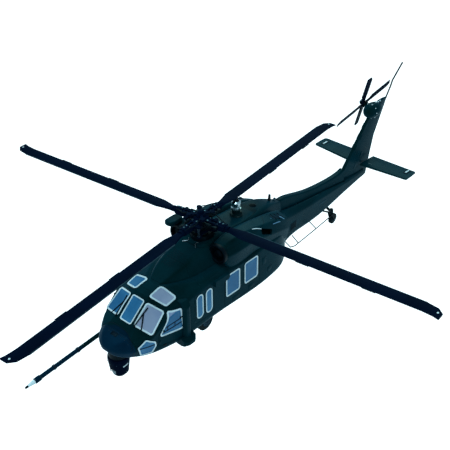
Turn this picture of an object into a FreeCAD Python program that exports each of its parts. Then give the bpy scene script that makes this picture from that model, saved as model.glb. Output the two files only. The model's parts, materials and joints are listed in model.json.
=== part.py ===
# Display model of a twin-engined utility helicopter, scale 1:40, in millimetres.
# +Z is up, the nose points along -Y, port is +X.
# The origin is the centre of the stand socket's mouth, on the belly under the mast.
import FreeCAD, Part
import math
import os

from FreeCAD import Placement, Rotation, Vector

# ---- Driving dimensions ----------------------------------------------------

# fuselage
wall = 1.6                    # moulded shell thickness
cabin_half = 29.5             # half width of the cabin at the floor
cabin_roof = 42.3             # cabin roof above the belly
nose_joint_y = -94.0          # where the nose cap meets the hull
nose_tip_y = -107.0           # front of the nose cap
boom_joint_y = 97.0           # where the tail boom meets the hull
joint_lip = 3.0               # length of the spigot behind each joint
fit_gap = 0.1                 # clearance of glued spigots and plugs
pane_gap = 0.05               # clearance of a pane in its opening
door_line = 0.35              # width and depth of the engraved door lines

# windshield facets
brow_y = -70.0                # top edge of the centre windshield
brow_z = 37.2
windshield_slope = 41.2       # degrees above the horizontal
side_facet_yaw = 27.0         # degrees that the side facets turn outwards
facet_hinge_x = 7.6           # where the side facets start

# roof cowl and engines
cowl_front_y = -54.0
cowl_end_y = 97.0
cowl_top = 60.2
engine_x = 21.6
engine_z = 53.5
intake_y = -5.5
engine_end_y = 40.0

# main rotor
hub_z = 74.5
rotor_radius = 203.2
rotor_rest_angle = 6.2        # first blade, degrees from straight ahead
blade_count = 4
blade_root_r = 24.0
blade_chord = 11.2
blade_thick = 1.7
mast_r = 2.0
running_gap = 0.06            # radial clearance of every turning fit
face_gap = 0.3                # axial clearance between turning faces

# tail
fin_thick = 4.6
tail_hub_x = -9.1
tail_hub_y = 241.2
tail_hub_z = 83.7
tail_cant = 22.0              # degrees that the tail rotor shaft leans up
tail_rotor_r = 37.6
tail_rotor_angle = 162.5
stab_z = 30.8
stab_half = 53.2
stab_pivot_y = 228.0
stab_pivot_r = 1.2

# landing gear
wheel_r = 8.3
wheel_wide = 6.0
wheel_x = 24.2
wheel_y = -24.0
wheel_z = -0.2
axle_r = 1.0
tail_wheel_r = 5.3
tail_wheel_y = 187.4
tail_wheel_z = -16.3

# nose turret, stand socket
turret_y = -94.8
turret_z = -17.8
turret_r = 6.2
socket_r = 3.0
socket_deep = 12.0
socket_wall = 2.2

FORWARD = Vector(0, -1, 0)
UP = Vector(0, 0, 1)
PORT = Vector(1, 0, 0)


# ---- Shared shapes ---------------------------------------------------------

def rounded_wire(corners, radii):
    """Closed flat wire through the corners, each rounded by its own radius."""
    edges = []
    ends = []
    count = len(corners)
    for i, corner in enumerate(corners):
        before = (corners[i - 1] - corner).normalize()
        after = (corners[(i + 1) % count] - corner).normalize()
        half_angle = before.getAngle(after) / 2.0
        reach = radii[i] / math.tan(half_angle)
        middle = (before + after).normalize()
        depth = radii[i] / math.sin(half_angle) - radii[i]
        start = corner + before * reach
        end = corner + after * reach
        ends.append((start, corner + middle * depth, end))
    for i, (start, bulge, end) in enumerate(ends):
        edges.append(Part.Arc(start, bulge, end).toShape())
        edges.append(Part.LineSegment(end, ends[(i + 1) % count][0]).toShape())
    return Part.Wire(edges)


def grown(points, amount):
    """The outline of a convex polygon moved outwards by amount, as 2-D points."""
    area = sum(a[0] * b[1] - b[0] * a[1] for a, b in zip(points, points[1:] + points[:1]))
    side = 1.0 if area > 0 else -1.0
    lines = []
    for a, b in zip(points, points[1:] + points[:1]):
        length = math.hypot(b[0] - a[0], b[1] - a[1])
        normal = (side * (b[1] - a[1]) / length, -side * (b[0] - a[0]) / length)
        lines.append((normal, normal[0] * a[0] + normal[1] * a[1] + amount))
    result = []
    for first, second in zip(lines[-1:] + lines[:-1], lines):
        (n1, d1), (n2, d2) = first, second
        det = n1[0] * n2[1] - n1[1] * n2[0]
        result.append(((d1 * n2[1] - d2 * n1[1]) / det, (n1[0] * d2 - n2[0] * d1) / det))
    return result


def plate(corners, radius, push):
    """A flat outline with equal corner radii, pushed along a vector into a solid."""
    wire = rounded_wire(corners, [radius] * len(corners))
    return Part.Face(wire).extrude(push)


def side_prism(points, radius, x_from, x_to, grow=0.0):
    """A prism along X over an outline given as (y, z) points."""
    corners = [Vector(x_from, y, z) for y, z in grown(points, grow)]
    return plate(corners, radius, Vector(x_to - x_from, 0, 0))


def top_prism(points, radius, z_from, z_to, grow=0.0):
    """A prism along Z over an outline given as (x, y) points."""
    corners = [Vector(x, y, z_from) for x, y in grown(points, grow)]
    return plate(corners, radius, Vector(0, 0, z_to - z_from))


def loft(wires, ruled=False):
    return Part.makeLoft(wires, True, ruled)


def mirrored(shape):
    """The same shape on the other side of the fuselage."""
    return shape.mirror(Vector(0, 0, 0), PORT)


def rod(start, end, radius):
    return Part.makeCylinder(radius, (end - start).Length, start, end - start)


def ring(outer, inner, height, base, axis):
    return Part.makeCylinder(outer, height, base, axis).cut(
        Part.makeCylinder(inner, height, base, axis))


def block(x, y, z):
    """A box between pairs of lowest and highest values."""
    return Part.makeBox(x[1] - x[0], y[1] - y[0], z[1] - z[0], Vector(x[0], y[0], z[0]))


def turned(points, axis_at, axis):
    """A solid of revolution: points are (distance along the axis, radius)."""
    across = Vector(0, 0, 1) if abs(axis.z) < 0.9 else Vector(1, 0, 0)
    across = (across - axis * across.dot(axis)).normalize()
    places = [axis_at + axis * along + across * radius for along, radius in points]
    face = Part.Face(Part.makePolygon(places + places[:1]))
    return face.revolve(axis_at, axis, 360)


def joined(shapes):
    """One solid from overlapping shapes."""
    return shapes[0].multiFuse(shapes[1:]).removeSplitter()


def group(shapes):
    """Separate solids kept in one node."""
    return Part.makeCompound(shapes)


def foil_wire(place, chord, thick, blunt=0.3):
    """A rounded-nose section of four edges; place(along, up) is a point in space."""
    low_nose = place(0.10 * chord, -0.42 * thick)
    high_nose = place(0.10 * chord, 0.42 * thick)
    high_tail = place(chord, blunt / 2)
    low_tail = place(chord, -blunt / 2)
    nose = place(0.0, 0.0)
    tail = place(chord, 0.0)
    return Part.Wire([
        Part.Arc(low_nose, place(0.03 * chord, -0.27 * thick), nose).toShape(),
        Part.Arc(nose, place(0.03 * chord, 0.27 * thick), high_nose).toShape(),
        Part.Arc(high_nose, place(0.45 * chord, 0.46 * thick), high_tail).toShape(),
        Part.LineSegment(high_tail, tail).toShape(),
        Part.LineSegment(tail, low_tail).toShape(),
        Part.Arc(low_tail, place(0.45 * chord, -0.46 * thick), low_nose).toShape()])


def half(shape, side):
    """The port (1) or starboard (-1) half of a shape."""
    reach = 400.0
    x = (0.0, reach) if side > 0 else (-reach, 0.0)
    return shape.common(block(x, (-reach, reach), (-reach, reach)))


def beyond(point, normal):
    """A large block on the outer side of a plane, used to cut a facet."""
    size = 300.0
    cutter = Part.makeBox(size, size, size, Vector(-size / 2, -size / 2, 0))
    cutter.Placement = Placement(point, Rotation(UP, normal))
    return cutter


# ---- Fuselage hull ---------------------------------------------------------

# Hull sections: y, then half width and height of the floor corner, the shoulder
# corner and the roof corner, then the radius of each of the three.
hull_stations = [
    (nose_joint_y, 15.5, 0.8, 20.3, 12.0, 12.5, 19.2, 6.5, 6.0, 6.5),
    (-86.0, 20.0, -0.6, 24.4, 17.0, 14.0, 27.5, 6.0, 6.0, 7.0),
    (-76.0, 24.0, -1.2, 27.0, 25.0, 11.5, 36.5, 5.5, 5.0, 7.0),
    (-66.0, 26.5, -1.2, 28.1, 31.0, 9.5, 40.0, 5.0, 4.5, 7.0),
    (-54.0, 28.6, -0.8, 28.9, 34.5, 10.0, 42.0, 4.5, 4.5, 7.0),
    (-36.0, cabin_half, 0.0, 29.2, 37.5, 20.0, cabin_roof, 4.5, 4.0, 7.0),
    (5.0, cabin_half, 0.0, 29.2, 38.0, 22.0, cabin_roof, 4.5, 4.0, 7.0),
    (52.0, cabin_half, 0.0, 29.2, 38.0, 22.0, cabin_roof, 4.5, 4.0, 7.0),
    (67.0, 28.2, 0.5, 28.2, 37.5, 20.0, 41.8, 5.0, 4.0, 6.5),
    (80.0, 23.5, 1.5, 23.2, 36.5, 14.5, 40.4, 5.0, 4.0, 5.0),
    (89.0, 16.8, 3.2, 17.0, 35.0, 10.5, 38.9, 5.0, 4.0, 4.5),
    (boom_joint_y, 11.5, 4.8, 12.2, 33.0, 7.8, 37.6, 4.5, 4.0, 4.0),
]


def hull_section(station, inset=0.0, y=None):
    at, low_x, low_z, side_x, side_z, roof_x, roof_z, r_low, r_side, r_roof = station
    at = at if y is None else y
    half_outline = [(low_x - inset, low_z + inset), (side_x - inset, side_z),
                    (roof_x, roof_z - inset)]
    outline = half_outline + [(-x, z) for x, z in reversed(half_outline)]
    radii = [max(r - inset, 0.6) for r in (r_low, r_side, r_roof)]
    corners = [Vector(x, at, z) for x, z in outline]
    return rounded_wire(corners, radii + list(reversed(radii)))


def hull_body(inset=0.0, overrun=0.0):
    """The hull as a filled form, its skin moved in by inset."""
    first = hull_section(hull_stations[0], inset, hull_stations[0][0] - overrun)
    last = hull_section(hull_stations[-1], inset, hull_stations[-1][0] + overrun)
    middle = [hull_section(s, inset) for s in hull_stations[1:-1]]
    body = loft([first] + middle + [last])
    for point, normal in facets():
        body = body.cut(beyond(point - normal * inset, normal))
    return body


def facet_normal(yaw):
    slope = math.radians(windshield_slope)
    turn = math.radians(yaw)
    level = math.sin(slope)
    return Vector(level * math.sin(turn), -level * math.cos(turn), math.cos(slope))


def facets():
    """The three flat faces that carry the windshields: a point and a normal."""
    brow = Vector(0, brow_y, brow_z)
    hinge = Vector(facet_hinge_x, brow_y, brow_z)
    across = Vector(-facet_hinge_x, brow_y, brow_z)
    return [(brow, facet_normal(0.0)), (hinge, facet_normal(side_facet_yaw)),
            (across, facet_normal(-side_facet_yaw))]


def on_facet(which, x, y):
    point, normal = facets()[which]
    z = point.z - (normal.x * (x - point.x) + normal.y * (y - point.y)) / normal.z
    return Vector(x, y, z)


def facet_prism(which, outline, radius, grow=0.0):
    """A prism through the hull wall, square to a windshield facet."""
    normal = facets()[which][1]
    corners = [on_facet(which, x, y) - normal * 3 * wall for x, y in grown(outline, grow)]
    return plate(corners, radius, normal * 6 * wall)


# Window outlines. Side windows are (y, z), roof and windshield windows (x, y).
centre_outline = [(-5.7, -70.2), (5.7, -70.2), (5.5, -85.2), (-5.5, -85.2)]
side_windshield = [(9.2, -70.2), (22.9, -67.0), (24.6, -81.4), (9.8, -84.7)]
eyebrow_outline = [(8.2, -66.0), (7.7, -54.2), (21.2, -52.2), (20.8, -61.8)]
door_outline = [(-54.4, 32.2), (-52.8, 13.4), (-74.6, 16.6), (-64.6, 33.2)]
chin_outline = [(-92.0, 12.4), (-86.0, 18.0), (-79.2, 13.4), (-78.2, 9.0), (-81.0, 3.4),
                (-89.0, 3.4)]
gunner_width = 6.6
gunner_windows = [(-33.7, 11.6, 33.2), (-23.2, 11.1, 33.0)]     # middle y, low z, high z
cabin_windows = [(-2.6, 13.2, 13.4, 33.6), (19.8, 35.6, 14.2, 34.2)]


def gunner_outline(window):
    middle, low, high = window
    front = middle - gunner_width / 2
    back = middle + gunner_width / 2
    return [(front, low), (back, low), (back, high), (front, high)]


def cabin_outline(window):
    front, back, low, high = window
    return [(front, low), (back, low), (back, high), (front, high)]


def window_prisms(grow=0.0):
    """Every window's prism, by window name. Only the port side and the centre."""
    out = cabin_half + 5.0
    gunner_round = gunner_width / 2 + grow - 0.1
    return {
        "windshield_centre": [facet_prism(0, centre_outline, 1.2 + grow, grow)],
        "windshield_port": [facet_prism(1, side_windshield, 1.4 + grow, grow)],
        "eyebrow": [top_prism(eyebrow_outline, 1.2 + grow, 28.0, 50.0, grow)],
        "door": [side_prism(door_outline, 1.6 + grow, 18.0, out, grow)],
        "chin": [side_prism(chin_outline, 1.2 + grow, 14.0, out, grow)],
        "gunner": [side_prism(gunner_outline(w), gunner_round, 20.0, out, grow)
                   for w in gunner_windows],
        "cabin": [side_prism(cabin_outline(w), 2.0 + grow, 20.0, out, grow)
                  for w in cabin_windows],
    }


# Rooftop and tail volumes that other parts are cut to fit.

cowl_stations = [             # y, base half width, top half width, top height
    (cowl_front_y, 8.0, 5.0, 42.0),
    (-46.0, 14.5, 8.5, 46.0),
    (-33.0, 20.5, 11.5, 51.5),
    (-14.0, 22.5, 12.0, cowl_top - 3.4),
    (4.0, 22.5, 12.0, cowl_top),
    (34.0, 22.0, 12.0, cowl_top - 1.8),
    (58.0, 19.5, 11.0, cowl_top - 3.0),
    (76.0, 13.5, 8.0, 55.0),
    (88.0, 9.0, 5.5, 50.5),
    (cowl_end_y, 6.0, 3.6, 46.8),
]
cowl_base_z = 34.0


def cowl_body(inset=0.0, overrun=0.0):
    wires = []
    for i, (y, base, top, height) in enumerate(cowl_stations):
        if overrun and i in (0, len(cowl_stations) - 1):
            y += overrun if i else -overrun
        low = cowl_base_z - 2 * inset
        outline = [(base - inset, low), (top - inset, height - inset)]
        outline += [(-x, z) for x, z in reversed(outline)]
        round_top = max(0.42 * top - inset, 0.8)
        radii = [0.6, round_top, round_top, 0.6]
        wires.append(rounded_wire([Vector(x, y, z) for x, z in outline], radii))
    return loft(wires)


# Boom sections follow the same layout as the hull's.
boom_stations = [
    hull_stations[-1],
    (130.0, 8.6, 5.9, 9.8, 27.8, 6.6, 32.0, 4.0, 3.4, 2.6),
    (162.0, 6.8, 6.1, 7.8, 24.4, 5.9, 28.0, 3.2, 2.8, 1.8),
    (184.0, 5.6, 8.5, 6.3, 22.2, 5.0, 25.2, 2.8, 2.4, 1.4),
    (205.0, 4.4, 10.9, 4.9, 20.4, 3.9, 23.0, 2.2, 1.8, 1.0),
    (232.0, 2.5, 13.6, 2.8, 19.0, 2.2, 21.2, 1.2, 1.0, 0.8),
]
boom_wall = 1.3
spine_half = 3.4              # half width of the drive shaft cover at its base
spine_groove = 1.3            # open groove each side of the cover
spine_seat = 2.2              # depth of the groove
spine_front_y = boom_joint_y + 1.6
spine_end_y = 197.0
spine_height = [(spine_front_y, 9.0), (122.0, 8.6), (140.0, 6.8), (162.0, 6.6),
                (182.0, 8.0), (spine_end_y, 11.4)]  # y, height of the cover above the boom's back


def boom_body(inset=0.0, overrun=0.0):
    wires = []
    for i, station in enumerate(boom_stations):
        y = station[0] - overrun if i == 0 else station[0]
        small = min(inset, 0.45 * station[1])
        wires.append(hull_section(station, small, y))
    return loft(wires)


fin_sections = [              # height, leading edge y, trailing edge y
    (12.2, 206.0, 239.6), (30.0, 192.6, 243.0), (41.0, 202.6, 245.4), (52.0, 212.5, 248.0),
    (73.3, 231.8, 258.6), (80.0, 238.5, 262.0), (87.0, 250.0, 264.8),
]


def fin_body():
    wires = []
    for z, front, back in fin_sections:
        thick = fin_thick * (0.72 + 0.28 * (87.0 - z) / 74.0)
        wires.append(foil_wire(lambda along, up: Vector(up, front + along, z),
                               back - front, thick, 0.7))
    return loft(wires, True)


def boom_back(y):
    """Height of the boom's back between its sections."""
    for low, high in zip(boom_stations, boom_stations[1:]):
        if y <= high[0]:
            share = (y - low[0]) / (high[0] - low[0])
            return low[6] + share * (high[6] - low[6])
    return boom_stations[-1][6]


def spine_loft(half_width, seat, top_of, round_top):
    wires = []
    for y, height in spine_height:
        floor = boom_back(y) - seat
        top = top_of(y, height)
        corners = [Vector(x, y, z) for x, z in (
            (-half_width, floor), (half_width, floor), (0.74 * half_width, top),
            (-0.74 * half_width, top))]
        wires.append(rounded_wire(corners, [0.3, round_top, round_top, 0.3]))
    return loft(wires)


def spine_body():
    return spine_loft(spine_half, spine_seat, lambda y, h: boom_back(y) + h, 1.6)


def spine_trough(extra):
    """The groove along the boom's back, made larger by extra."""
    reach = 30.0
    return spine_loft(spine_half + spine_groove + extra, spine_seat + extra,
                      lambda y, h: boom_back(y) + reach, 0.3)


# Engine nacelle sections, as (x, z) outlines at each y.
nacelle_stations = [
    (intake_y + 3.5, [(14.5, 44.5), (27.0, 44.5), (29.0, 51.5), (26.0, 60.0), (16.5, 61.0),
                      (13.0, 53.5)]),
    (6.0, [(12.0, 36.0), (27.6, 36.0), (30.8, 52.0), (26.5, 61.8), (15.0, 62.0), (11.0, 54.0)]),
    (28.0, [(12.0, 36.0), (27.6, 36.0), (30.8, 51.5), (26.5, 61.2), (15.0, 62.0),
            (11.0, 54.0)]),
    (engine_end_y, [(12.0, 36.0), (27.6, 36.0), (30.4, 49.5), (26.2, 58.6), (15.0, 60.5),
                    (11.0, 53.0)]),
]
exhaust_stations = [
    (engine_end_y, nacelle_stations[-1][1]),
    (54.0, [(12.0, 34.0), (27.4, 34.0), (30.0, 46.0), (26.5, 55.5), (15.0, 58.0), (10.5, 51.0)]),
    (68.0, [(10.5, 30.0), (26.4, 30.0), (28.8, 42.0), (25.5, 51.2), (14.0, 54.6), (9.5, 48.0)]),
    (81.0, [(8.5, 24.0), (24.4, 24.0), (26.6, 37.5), (23.8, 46.4), (13.0, 50.0), (7.5, 44.0)]),
]
pod_round = 3.4


def pod_body(stations, inset=0.0):
    wires = []
    for y, outline in stations:
        corners = [Vector(x, y, z) for x, z in grown(outline, -inset)]
        wires.append(rounded_wire(corners, [max(pod_round - inset, 0.8)] * len(corners)))
    return loft(wires)


# ---- Finished parts --------------------------------------------------------

os.makedirs("parts", exist_ok=True)


def keep(name, shape):
    if not shape.Solids:
        raise ValueError("no solid in " + name)
    shape.exportStep("parts/" + name + ".step")
    print(name, len(shape.Solids), round(shape.Volume, 1), shape.isValid())


hull_outer = hull_body()
hull_inner = hull_body(wall, 1.0)
cowl_outer = cowl_body()
boom_outer = boom_body()
fin_outer = fin_body()
gearbox_at = Vector(0, tail_hub_y, tail_hub_z - 2.9)
tail_axis = Vector(-math.cos(math.radians(tail_cant)), 0, math.sin(math.radians(tail_cant)))


def both_sides(shapes):
    return shapes + [mirrored(s) for s in shapes]


# Nose cap: hull sections shrunk along a quarter ellipse.
nose_centre_z = 9.8
nose_ellipse_y = -75.0        # centre of the ellipse seen from above


def nose_body(inset=0.0, start=nose_joint_y):
    length = nose_ellipse_y - nose_tip_y
    first = math.asin((nose_ellipse_y - nose_joint_y) / length)
    last = math.radians(84.0)
    steps = 7
    wires = []
    for i in range(steps + 1):
        angle = first + (last - first) * i / steps
        scale = math.cos(angle) / math.cos(first)
        y = nose_ellipse_y - (length - inset) * math.sin(angle)
        if i == 0:
            y = start
        wire = hull_section(hull_stations[0], inset, 0.0)
        centre = Vector(0, 0, nose_centre_z)
        matrix = FreeCAD.Matrix()
        matrix.move(centre * -1)
        matrix.scale(scale, 1.0, scale)
        matrix.move(centre + Vector(0, y, 0))
        wires.append(wire.transformGeometry(matrix))
    return loft(wires)


nose_outer = nose_body()

# ---- Hull halves -----------------------------------------------------------

seam_block_half = 3.4         # half length of the blocks that hold the seam pins
seam_pin_r = 0.9
seam_pin_half = 4.0
seam_pins_at = [(-70.0, 2.4), (-42.0, 3.6), (22.0, 3.6), (62.0, 4.0), (-42.0, 38.8),
                (62.0, 38.2)]
wheel_well_gap = 1.0          # room round each main wheel in its well
wheel_well_wall = 1.2
well_top = wheel_z + wheel_r + wheel_well_gap
well_x = (wheel_x - wheel_wide / 2 - 0.8 - wheel_well_wall, wheel_x + wheel_wide / 2 + 0.5)
well_y = (wheel_y - wheel_r - wheel_well_gap - wheel_well_wall,
          wheel_y + wheel_r + wheel_well_gap + wheel_well_wall)
track_box_y = (-17.6, -1.0)   # fairing over the front end of the door track
track_box_z = (32.4, 37.6)
track_box_x = (26.0, 31.6)
socket_outer = socket_r + socket_wall
door_outlines = [             # engraved door outlines, (y, z) points and corner radius
    ([(-76.0, 6.0), (-50.6, 4.0), (-50.6, 34.4), (-63.0, 34.6), (-76.0, 19.0)], 2.0),
    ([(-5.0, 4.6), (38.6, 4.6), (38.6, 36.6), (-5.0, 36.6)], 2.4),
    ([(-39.6, 7.6), (-17.4, 7.2), (-17.4, 35.6), (-39.6, 35.6)], 1.6),
]


def door_grooves():
    """Thin engraved lines round the cockpit door, gunner panel and cabin door."""
    below_skin = hull_body(door_line)
    grooves = []
    for outline, radius in door_outlines:
        frame = side_prism(outline, radius, 15.0, 40.0).cut(
            side_prism(outline, radius - door_line, 15.0, 40.0, -door_line))
        grooves.append(frame.cut(below_skin))
    return both_sides(grooves)


def hull_blank():
    shell = hull_outer.cut(hull_inner)
    added = []
    for y, z in seam_pins_at:
        z_range = (z - 8.0, z + 2.4) if z < 20 else (z - 2.4, z + 8.0)
        added.append(block((-5.2, 5.2), (y - seam_block_half, y + seam_block_half), z_range))
    added.append(Part.makeCylinder(socket_outer + 1.8, socket_deep - 2.0))
    added = [a.common(hull_outer) for a in added]
    track = block(track_box_x, track_box_y, track_box_z).cut(hull_inner)
    return shell.multiFuse(added + both_sides([track]))


openings = window_prisms()
hull = hull_blank()
clear_skin = hull_outer.cut(hull_inner)
cutters = [Part.makeCylinder(socket_outer, 40.0, Vector(0, 0, -20.0))]
cutters += [rod(Vector(-seam_pin_half, y, z), Vector(seam_pin_half, y, z), seam_pin_r)
            for y, z in seam_pins_at]
cutters += both_sides([block(well_x, well_y, (-5.0, well_top + wheel_well_wall))])
for name, prisms in openings.items():
    cutters += prisms if name == "windshield_centre" else both_sides(prisms)
cutters += door_grooves()
hull = hull.cut(cutters)
keep("hull_port", half(hull, 1))
keep("hull_starboard", half(hull, -1))
keep("seam_pins", group([rod(Vector(-seam_pin_half, y, z), Vector(seam_pin_half, y, z),
                             seam_pin_r) for y, z in seam_pins_at]))

# stand socket: a closed-top sleeve glued in the belly
socket = Part.makeCylinder(socket_outer, socket_deep)
socket = socket.cut(Part.makeCylinder(socket_r, socket_deep - socket_wall))
keep("stand_socket", socket)

# ---- Windows ---------------------------------------------------------------

panes = window_prisms(-pane_gap)


def fitted(name):
    return [clear_skin.common(prism) for prism in panes[name]]


keep("windshield_centre", fitted("windshield_centre")[0])
port_windshield = fitted("windshield_port")[0]
keep("side_windshields", group(both_sides([port_windshield])))
keep("eyebrow_windows", group(both_sides(fitted("eyebrow"))))
keep("door_windows", group(both_sides(fitted("door"))))
keep("chin_windows", group(both_sides(fitted("chin"))))
keep("gunner_windows", group(both_sides(fitted("gunner"))))
keep("cabin_windows", group(both_sides(fitted("cabin"))))

# ---- Nose cap with its spigot ----------------------------------------------

nose = nose_outer.cut(nose_body(wall, nose_joint_y - wall))
spigot_root = 0.5             # how far each spigot runs into the plate behind it
spigot_outer = hull_body(wall + fit_gap, spigot_root)
spigot_inner = hull_body(2 * wall + fit_gap, spigot_root)
spigots = spigot_outer.cut(spigot_inner)
nose_spigot = spigots.common(
    block((-50, 50), (nose_joint_y - spigot_root, nose_joint_y + joint_lip), (-20, 80)))
recess_deep = 0.7
nose_recess = block((-3.2, 3.2), (-98.6, -95.4), (10.0, 24.0)).cut(
    nose_body(recess_deep, nose_joint_y))
keep("nose_cap", nose.fuse(nose_spigot).cut(nose_recess))

# ---- Roof cowl, engines and exhausts ---------------------------------------

bush_r = 4.0                  # mast bush, its flange and its length
bush_flange_r = 5.4
bush_flange = 1.0
mast_ring_r = 9.8             # black ring round the mast on top of the cowl
mast_ring_y = 1.5
mast_ring_z = (56.5, 63.0)
bush_low = 48.0
cowl_boss_r = bush_r + 2.0
cowl = cowl_outer.cut(cowl_body(wall, 1.0))
cowl_boss = Part.makeCylinder(cowl_boss_r, 30.0, Vector(0, 0, bush_low + 1.0))
ring_floor = Part.makeCylinder(mast_ring_r + wall, 2 * wall, Vector(
    0, mast_ring_y, mast_ring_z[0] - wall))
mast_ring_hole = Part.makeCylinder(mast_ring_r, 20.0, Vector(0, mast_ring_y, mast_ring_z[0]))
cowl = cowl.multiFuse([cowl_boss.common(cowl_outer), ring_floor.common(cowl_outer)]).cut(
    [mast_ring_hole, Part.makeCylinder(bush_r, 60.0, Vector(0, 0, 30.0)), hull_outer])
jammer_y = 42.5
jammer_base_r = 5.4
jammer_base_z = (55.0, 59.0)
keep("roof_cowl", cowl.cut(Part.makeCylinder(
    jammer_base_r, 20.0, Vector(0, jammer_y, jammer_base_z[0]))))

ring_step = 0.8               # the ring's raised rim
mast_ring = Part.makeCylinder(mast_ring_r, mast_ring_z[1] - mast_ring_z[0],
                              Vector(0, mast_ring_y, mast_ring_z[0]))
mast_ring = mast_ring.cut([
    Part.makeCylinder(mast_ring_r - 2.0, ring_step,
                      Vector(0, mast_ring_y, mast_ring_z[1] - ring_step)),
    Part.makeCylinder(bush_r, 20.0, Vector(0, 0, mast_ring_z[0] - 5.0))])
mast_ring = mast_ring.cut(Part.makeCylinder(bush_flange_r, ring_step + bush_flange, Vector(
    0, 0, mast_ring_z[1] - ring_step)))
keep("mast_ring", mast_ring)

bush_seat = mast_ring_z[1] - ring_step
bush = Part.makeCylinder(bush_r, bush_seat - bush_low, Vector(0, 0, bush_low))
bush = bush.fuse(Part.makeCylinder(bush_flange_r, bush_flange, Vector(0, 0, bush_seat)))
bush = bush.cut(Part.makeCylinder(mast_r + running_gap, 60.0, Vector(0, 0, 30.0)))
bush_top = bush_seat + bush_flange
keep("mast_bush", bush)

engine_wall = 1.5
nacelle = pod_body(nacelle_stations)
nacelle_void = pod_body(nacelle_stations, engine_wall)
roof_parts = [hull_outer, cowl_outer]
nacelle = nacelle.cut(nacelle_void).cut(roof_parts)
keep("engine_nacelle_port", nacelle.Solids[0] if len(nacelle.Solids) == 1 else nacelle)
keep("engine_nacelle_starboard", mirrored(nacelle))

# intake: a rolled lip round a rounded centre body, in front of each nacelle
lip_r = 8.6
throat_r = 6.4
bullet_r = 3.4
intake_axis_at = Vector(engine_x, intake_y, engine_z - 0.6)
intake_long = 3.5             # from the lip to the nacelle's front face
intake_profile = [(0.6, 0.0), (0.9, 1.6), (1.9, bullet_r), (intake_long - 0.8, bullet_r),
                  (intake_long - 0.8, throat_r), (0.5, throat_r), (0.0, throat_r + 0.5),
                  (0.0, lip_r - 0.7), (0.7, lip_r), (intake_long, lip_r - 0.4),
                  (intake_long, 0.0)]
intake = turned(intake_profile, intake_axis_at, Vector(0, 1, 0)).cut(roof_parts)
keep("engine_intakes", group(both_sides([intake])))

exhaust = pod_body(exhaust_stations).cut(pod_body(exhaust_stations, engine_wall))
exhaust = exhaust.cut(roof_parts + [boom_outer])
scoop = plate([Vector(36.0, 41.5, 56.6), Vector(36.0, 55.5, 49.6), Vector(36.0, 52.5, 46.0),
               Vector(36.0, 41.5, 51.0)], 0.9, Vector(-12.0, 0, 0))
louvres = []
louvre_count = 3
louvre_pitch = 4.6
for i in range(louvre_count):
    y = 64.5 + i * louvre_pitch
    louvres.append(block((17.0, 24.5), (y, y + 2.2), (44.0, 60.0)))
exhaust = exhaust.cut([scoop] + louvres)
keep("exhaust_port", max(exhaust.Solids, key=lambda solid: solid.Volume))
keep("exhaust_starboard", mirrored(max(exhaust.Solids, key=lambda solid: solid.Volume)))

# jammer: a drum on a stepped round base behind the mast
jammer_profile = [(0.0, 0.0), (0.0, jammer_base_r), (3.6, jammer_base_r), (4.2, 5.0),
                  (5.0, 5.0), (5.2, 3.6), (8.6, 3.6), (9.0, 4.3), (10.4, 4.3), (10.7, 3.2),
                  (11.9, 3.2), (12.2, 4.1), (15.4, 3.9), (16.4, 2.6), (16.6, 0.0)]
jammer = turned(jammer_profile, Vector(0, jammer_y, jammer_base_z[0]), UP)
keep("jammer_drum", jammer)

# hoist pod on its pedestal over the starboard engine
hoist_at = Vector(-26.5, -4.0, 63.6)
pedestal = plate([hoist_at + Vector(dx, dy, -14.0) for dx, dy in (
    (-2.2, 2.7), (2.2, 2.7), (2.2, 7.0), (-2.2, 7.0))], 1.0, Vector(0, 0, 13.0))
pod_plan = [(-4.6, -8.0), (4.6, -8.0), (4.6, 8.0), (-4.6, 8.0)]
pod = plate([hoist_at + Vector(dx, dy, -1.8) for dx, dy in pod_plan], 4.2,
            Vector(0, 0, 3.8))
pod = pod.makeFillet(1.3, pod.Edges)
nacelle_fill = mirrored(pod_body(nacelle_stations))
keep("hoist_pod", pod.fuse(pedestal.cut([nacelle_fill, hull_outer, cowl_outer])))

# ---- Tail boom, fin and spine cover ----------------------------------------

plate_y = boom_joint_y + wall
boom_inner = boom_body(boom_wall).cut(spine_trough(boom_wall))
boom_inner = boom_inner.cut(block((-50, 50), (boom_joint_y - 5.0, plate_y), (-20, 90)))
boom = boom_outer.cut(spine_trough(0.0)).cut(boom_inner)
boom_spigot = spigots.common(
    block((-50, 50), (boom_joint_y - joint_lip, boom_joint_y + spigot_root), (-20, 80)))
stab_rod_line = rod(Vector(-20, stab_pivot_y, stab_z), Vector(20, stab_pivot_y, stab_z),
                    stab_pivot_r + running_gap)
gearbox_profile = [(-11.0, 0.0), (-10.6, 2.2), (-9.2, 4.2), (-6.6, 6.0), (-3.2, 7.1), (0.0, 7.4),
                   (3.4, 7.1), (7.6, 6.0), (11.4, 4.2), (15.4, 1.8), (16.0, 0.0)]
gearbox = turned(gearbox_profile, gearbox_at, Vector(0, 1, 0))
boss_end = 8.4                # length of the boss that carries the tail rotor pin
gearbox = gearbox.fuse(rod(gearbox_at, gearbox_at + tail_axis * boss_end, 2.9))
spine = spine_body()
tail = joined([boom, fin_outer]).fuse(boom_spigot)
tail = tail.cut([stab_rod_line, gearbox, spine_trough(0.0).common(
    block((-50, 50), (0, spine_end_y), (-20, 90)))])
boom_half = half(tail, 1)
keep("boom_port", boom_half)
keep("boom_starboard", mirrored(boom_half))
keep("spine_cover", spine.cut([fin_outer, cowl_outer]))
tail_pin_r = 1.0
pin_inside = 3.0              # how deep the tail rotor pin is pressed in
tail_pin_hole = rod(gearbox_at + tail_axis * (boss_end - pin_inside),
                    gearbox_at + tail_axis * (boss_end + 5.0), tail_pin_r)
keep("tail_gearbox", gearbox.cut(tail_pin_hole))

# ---- Stabilator ------------------------------------------------------------

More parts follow.
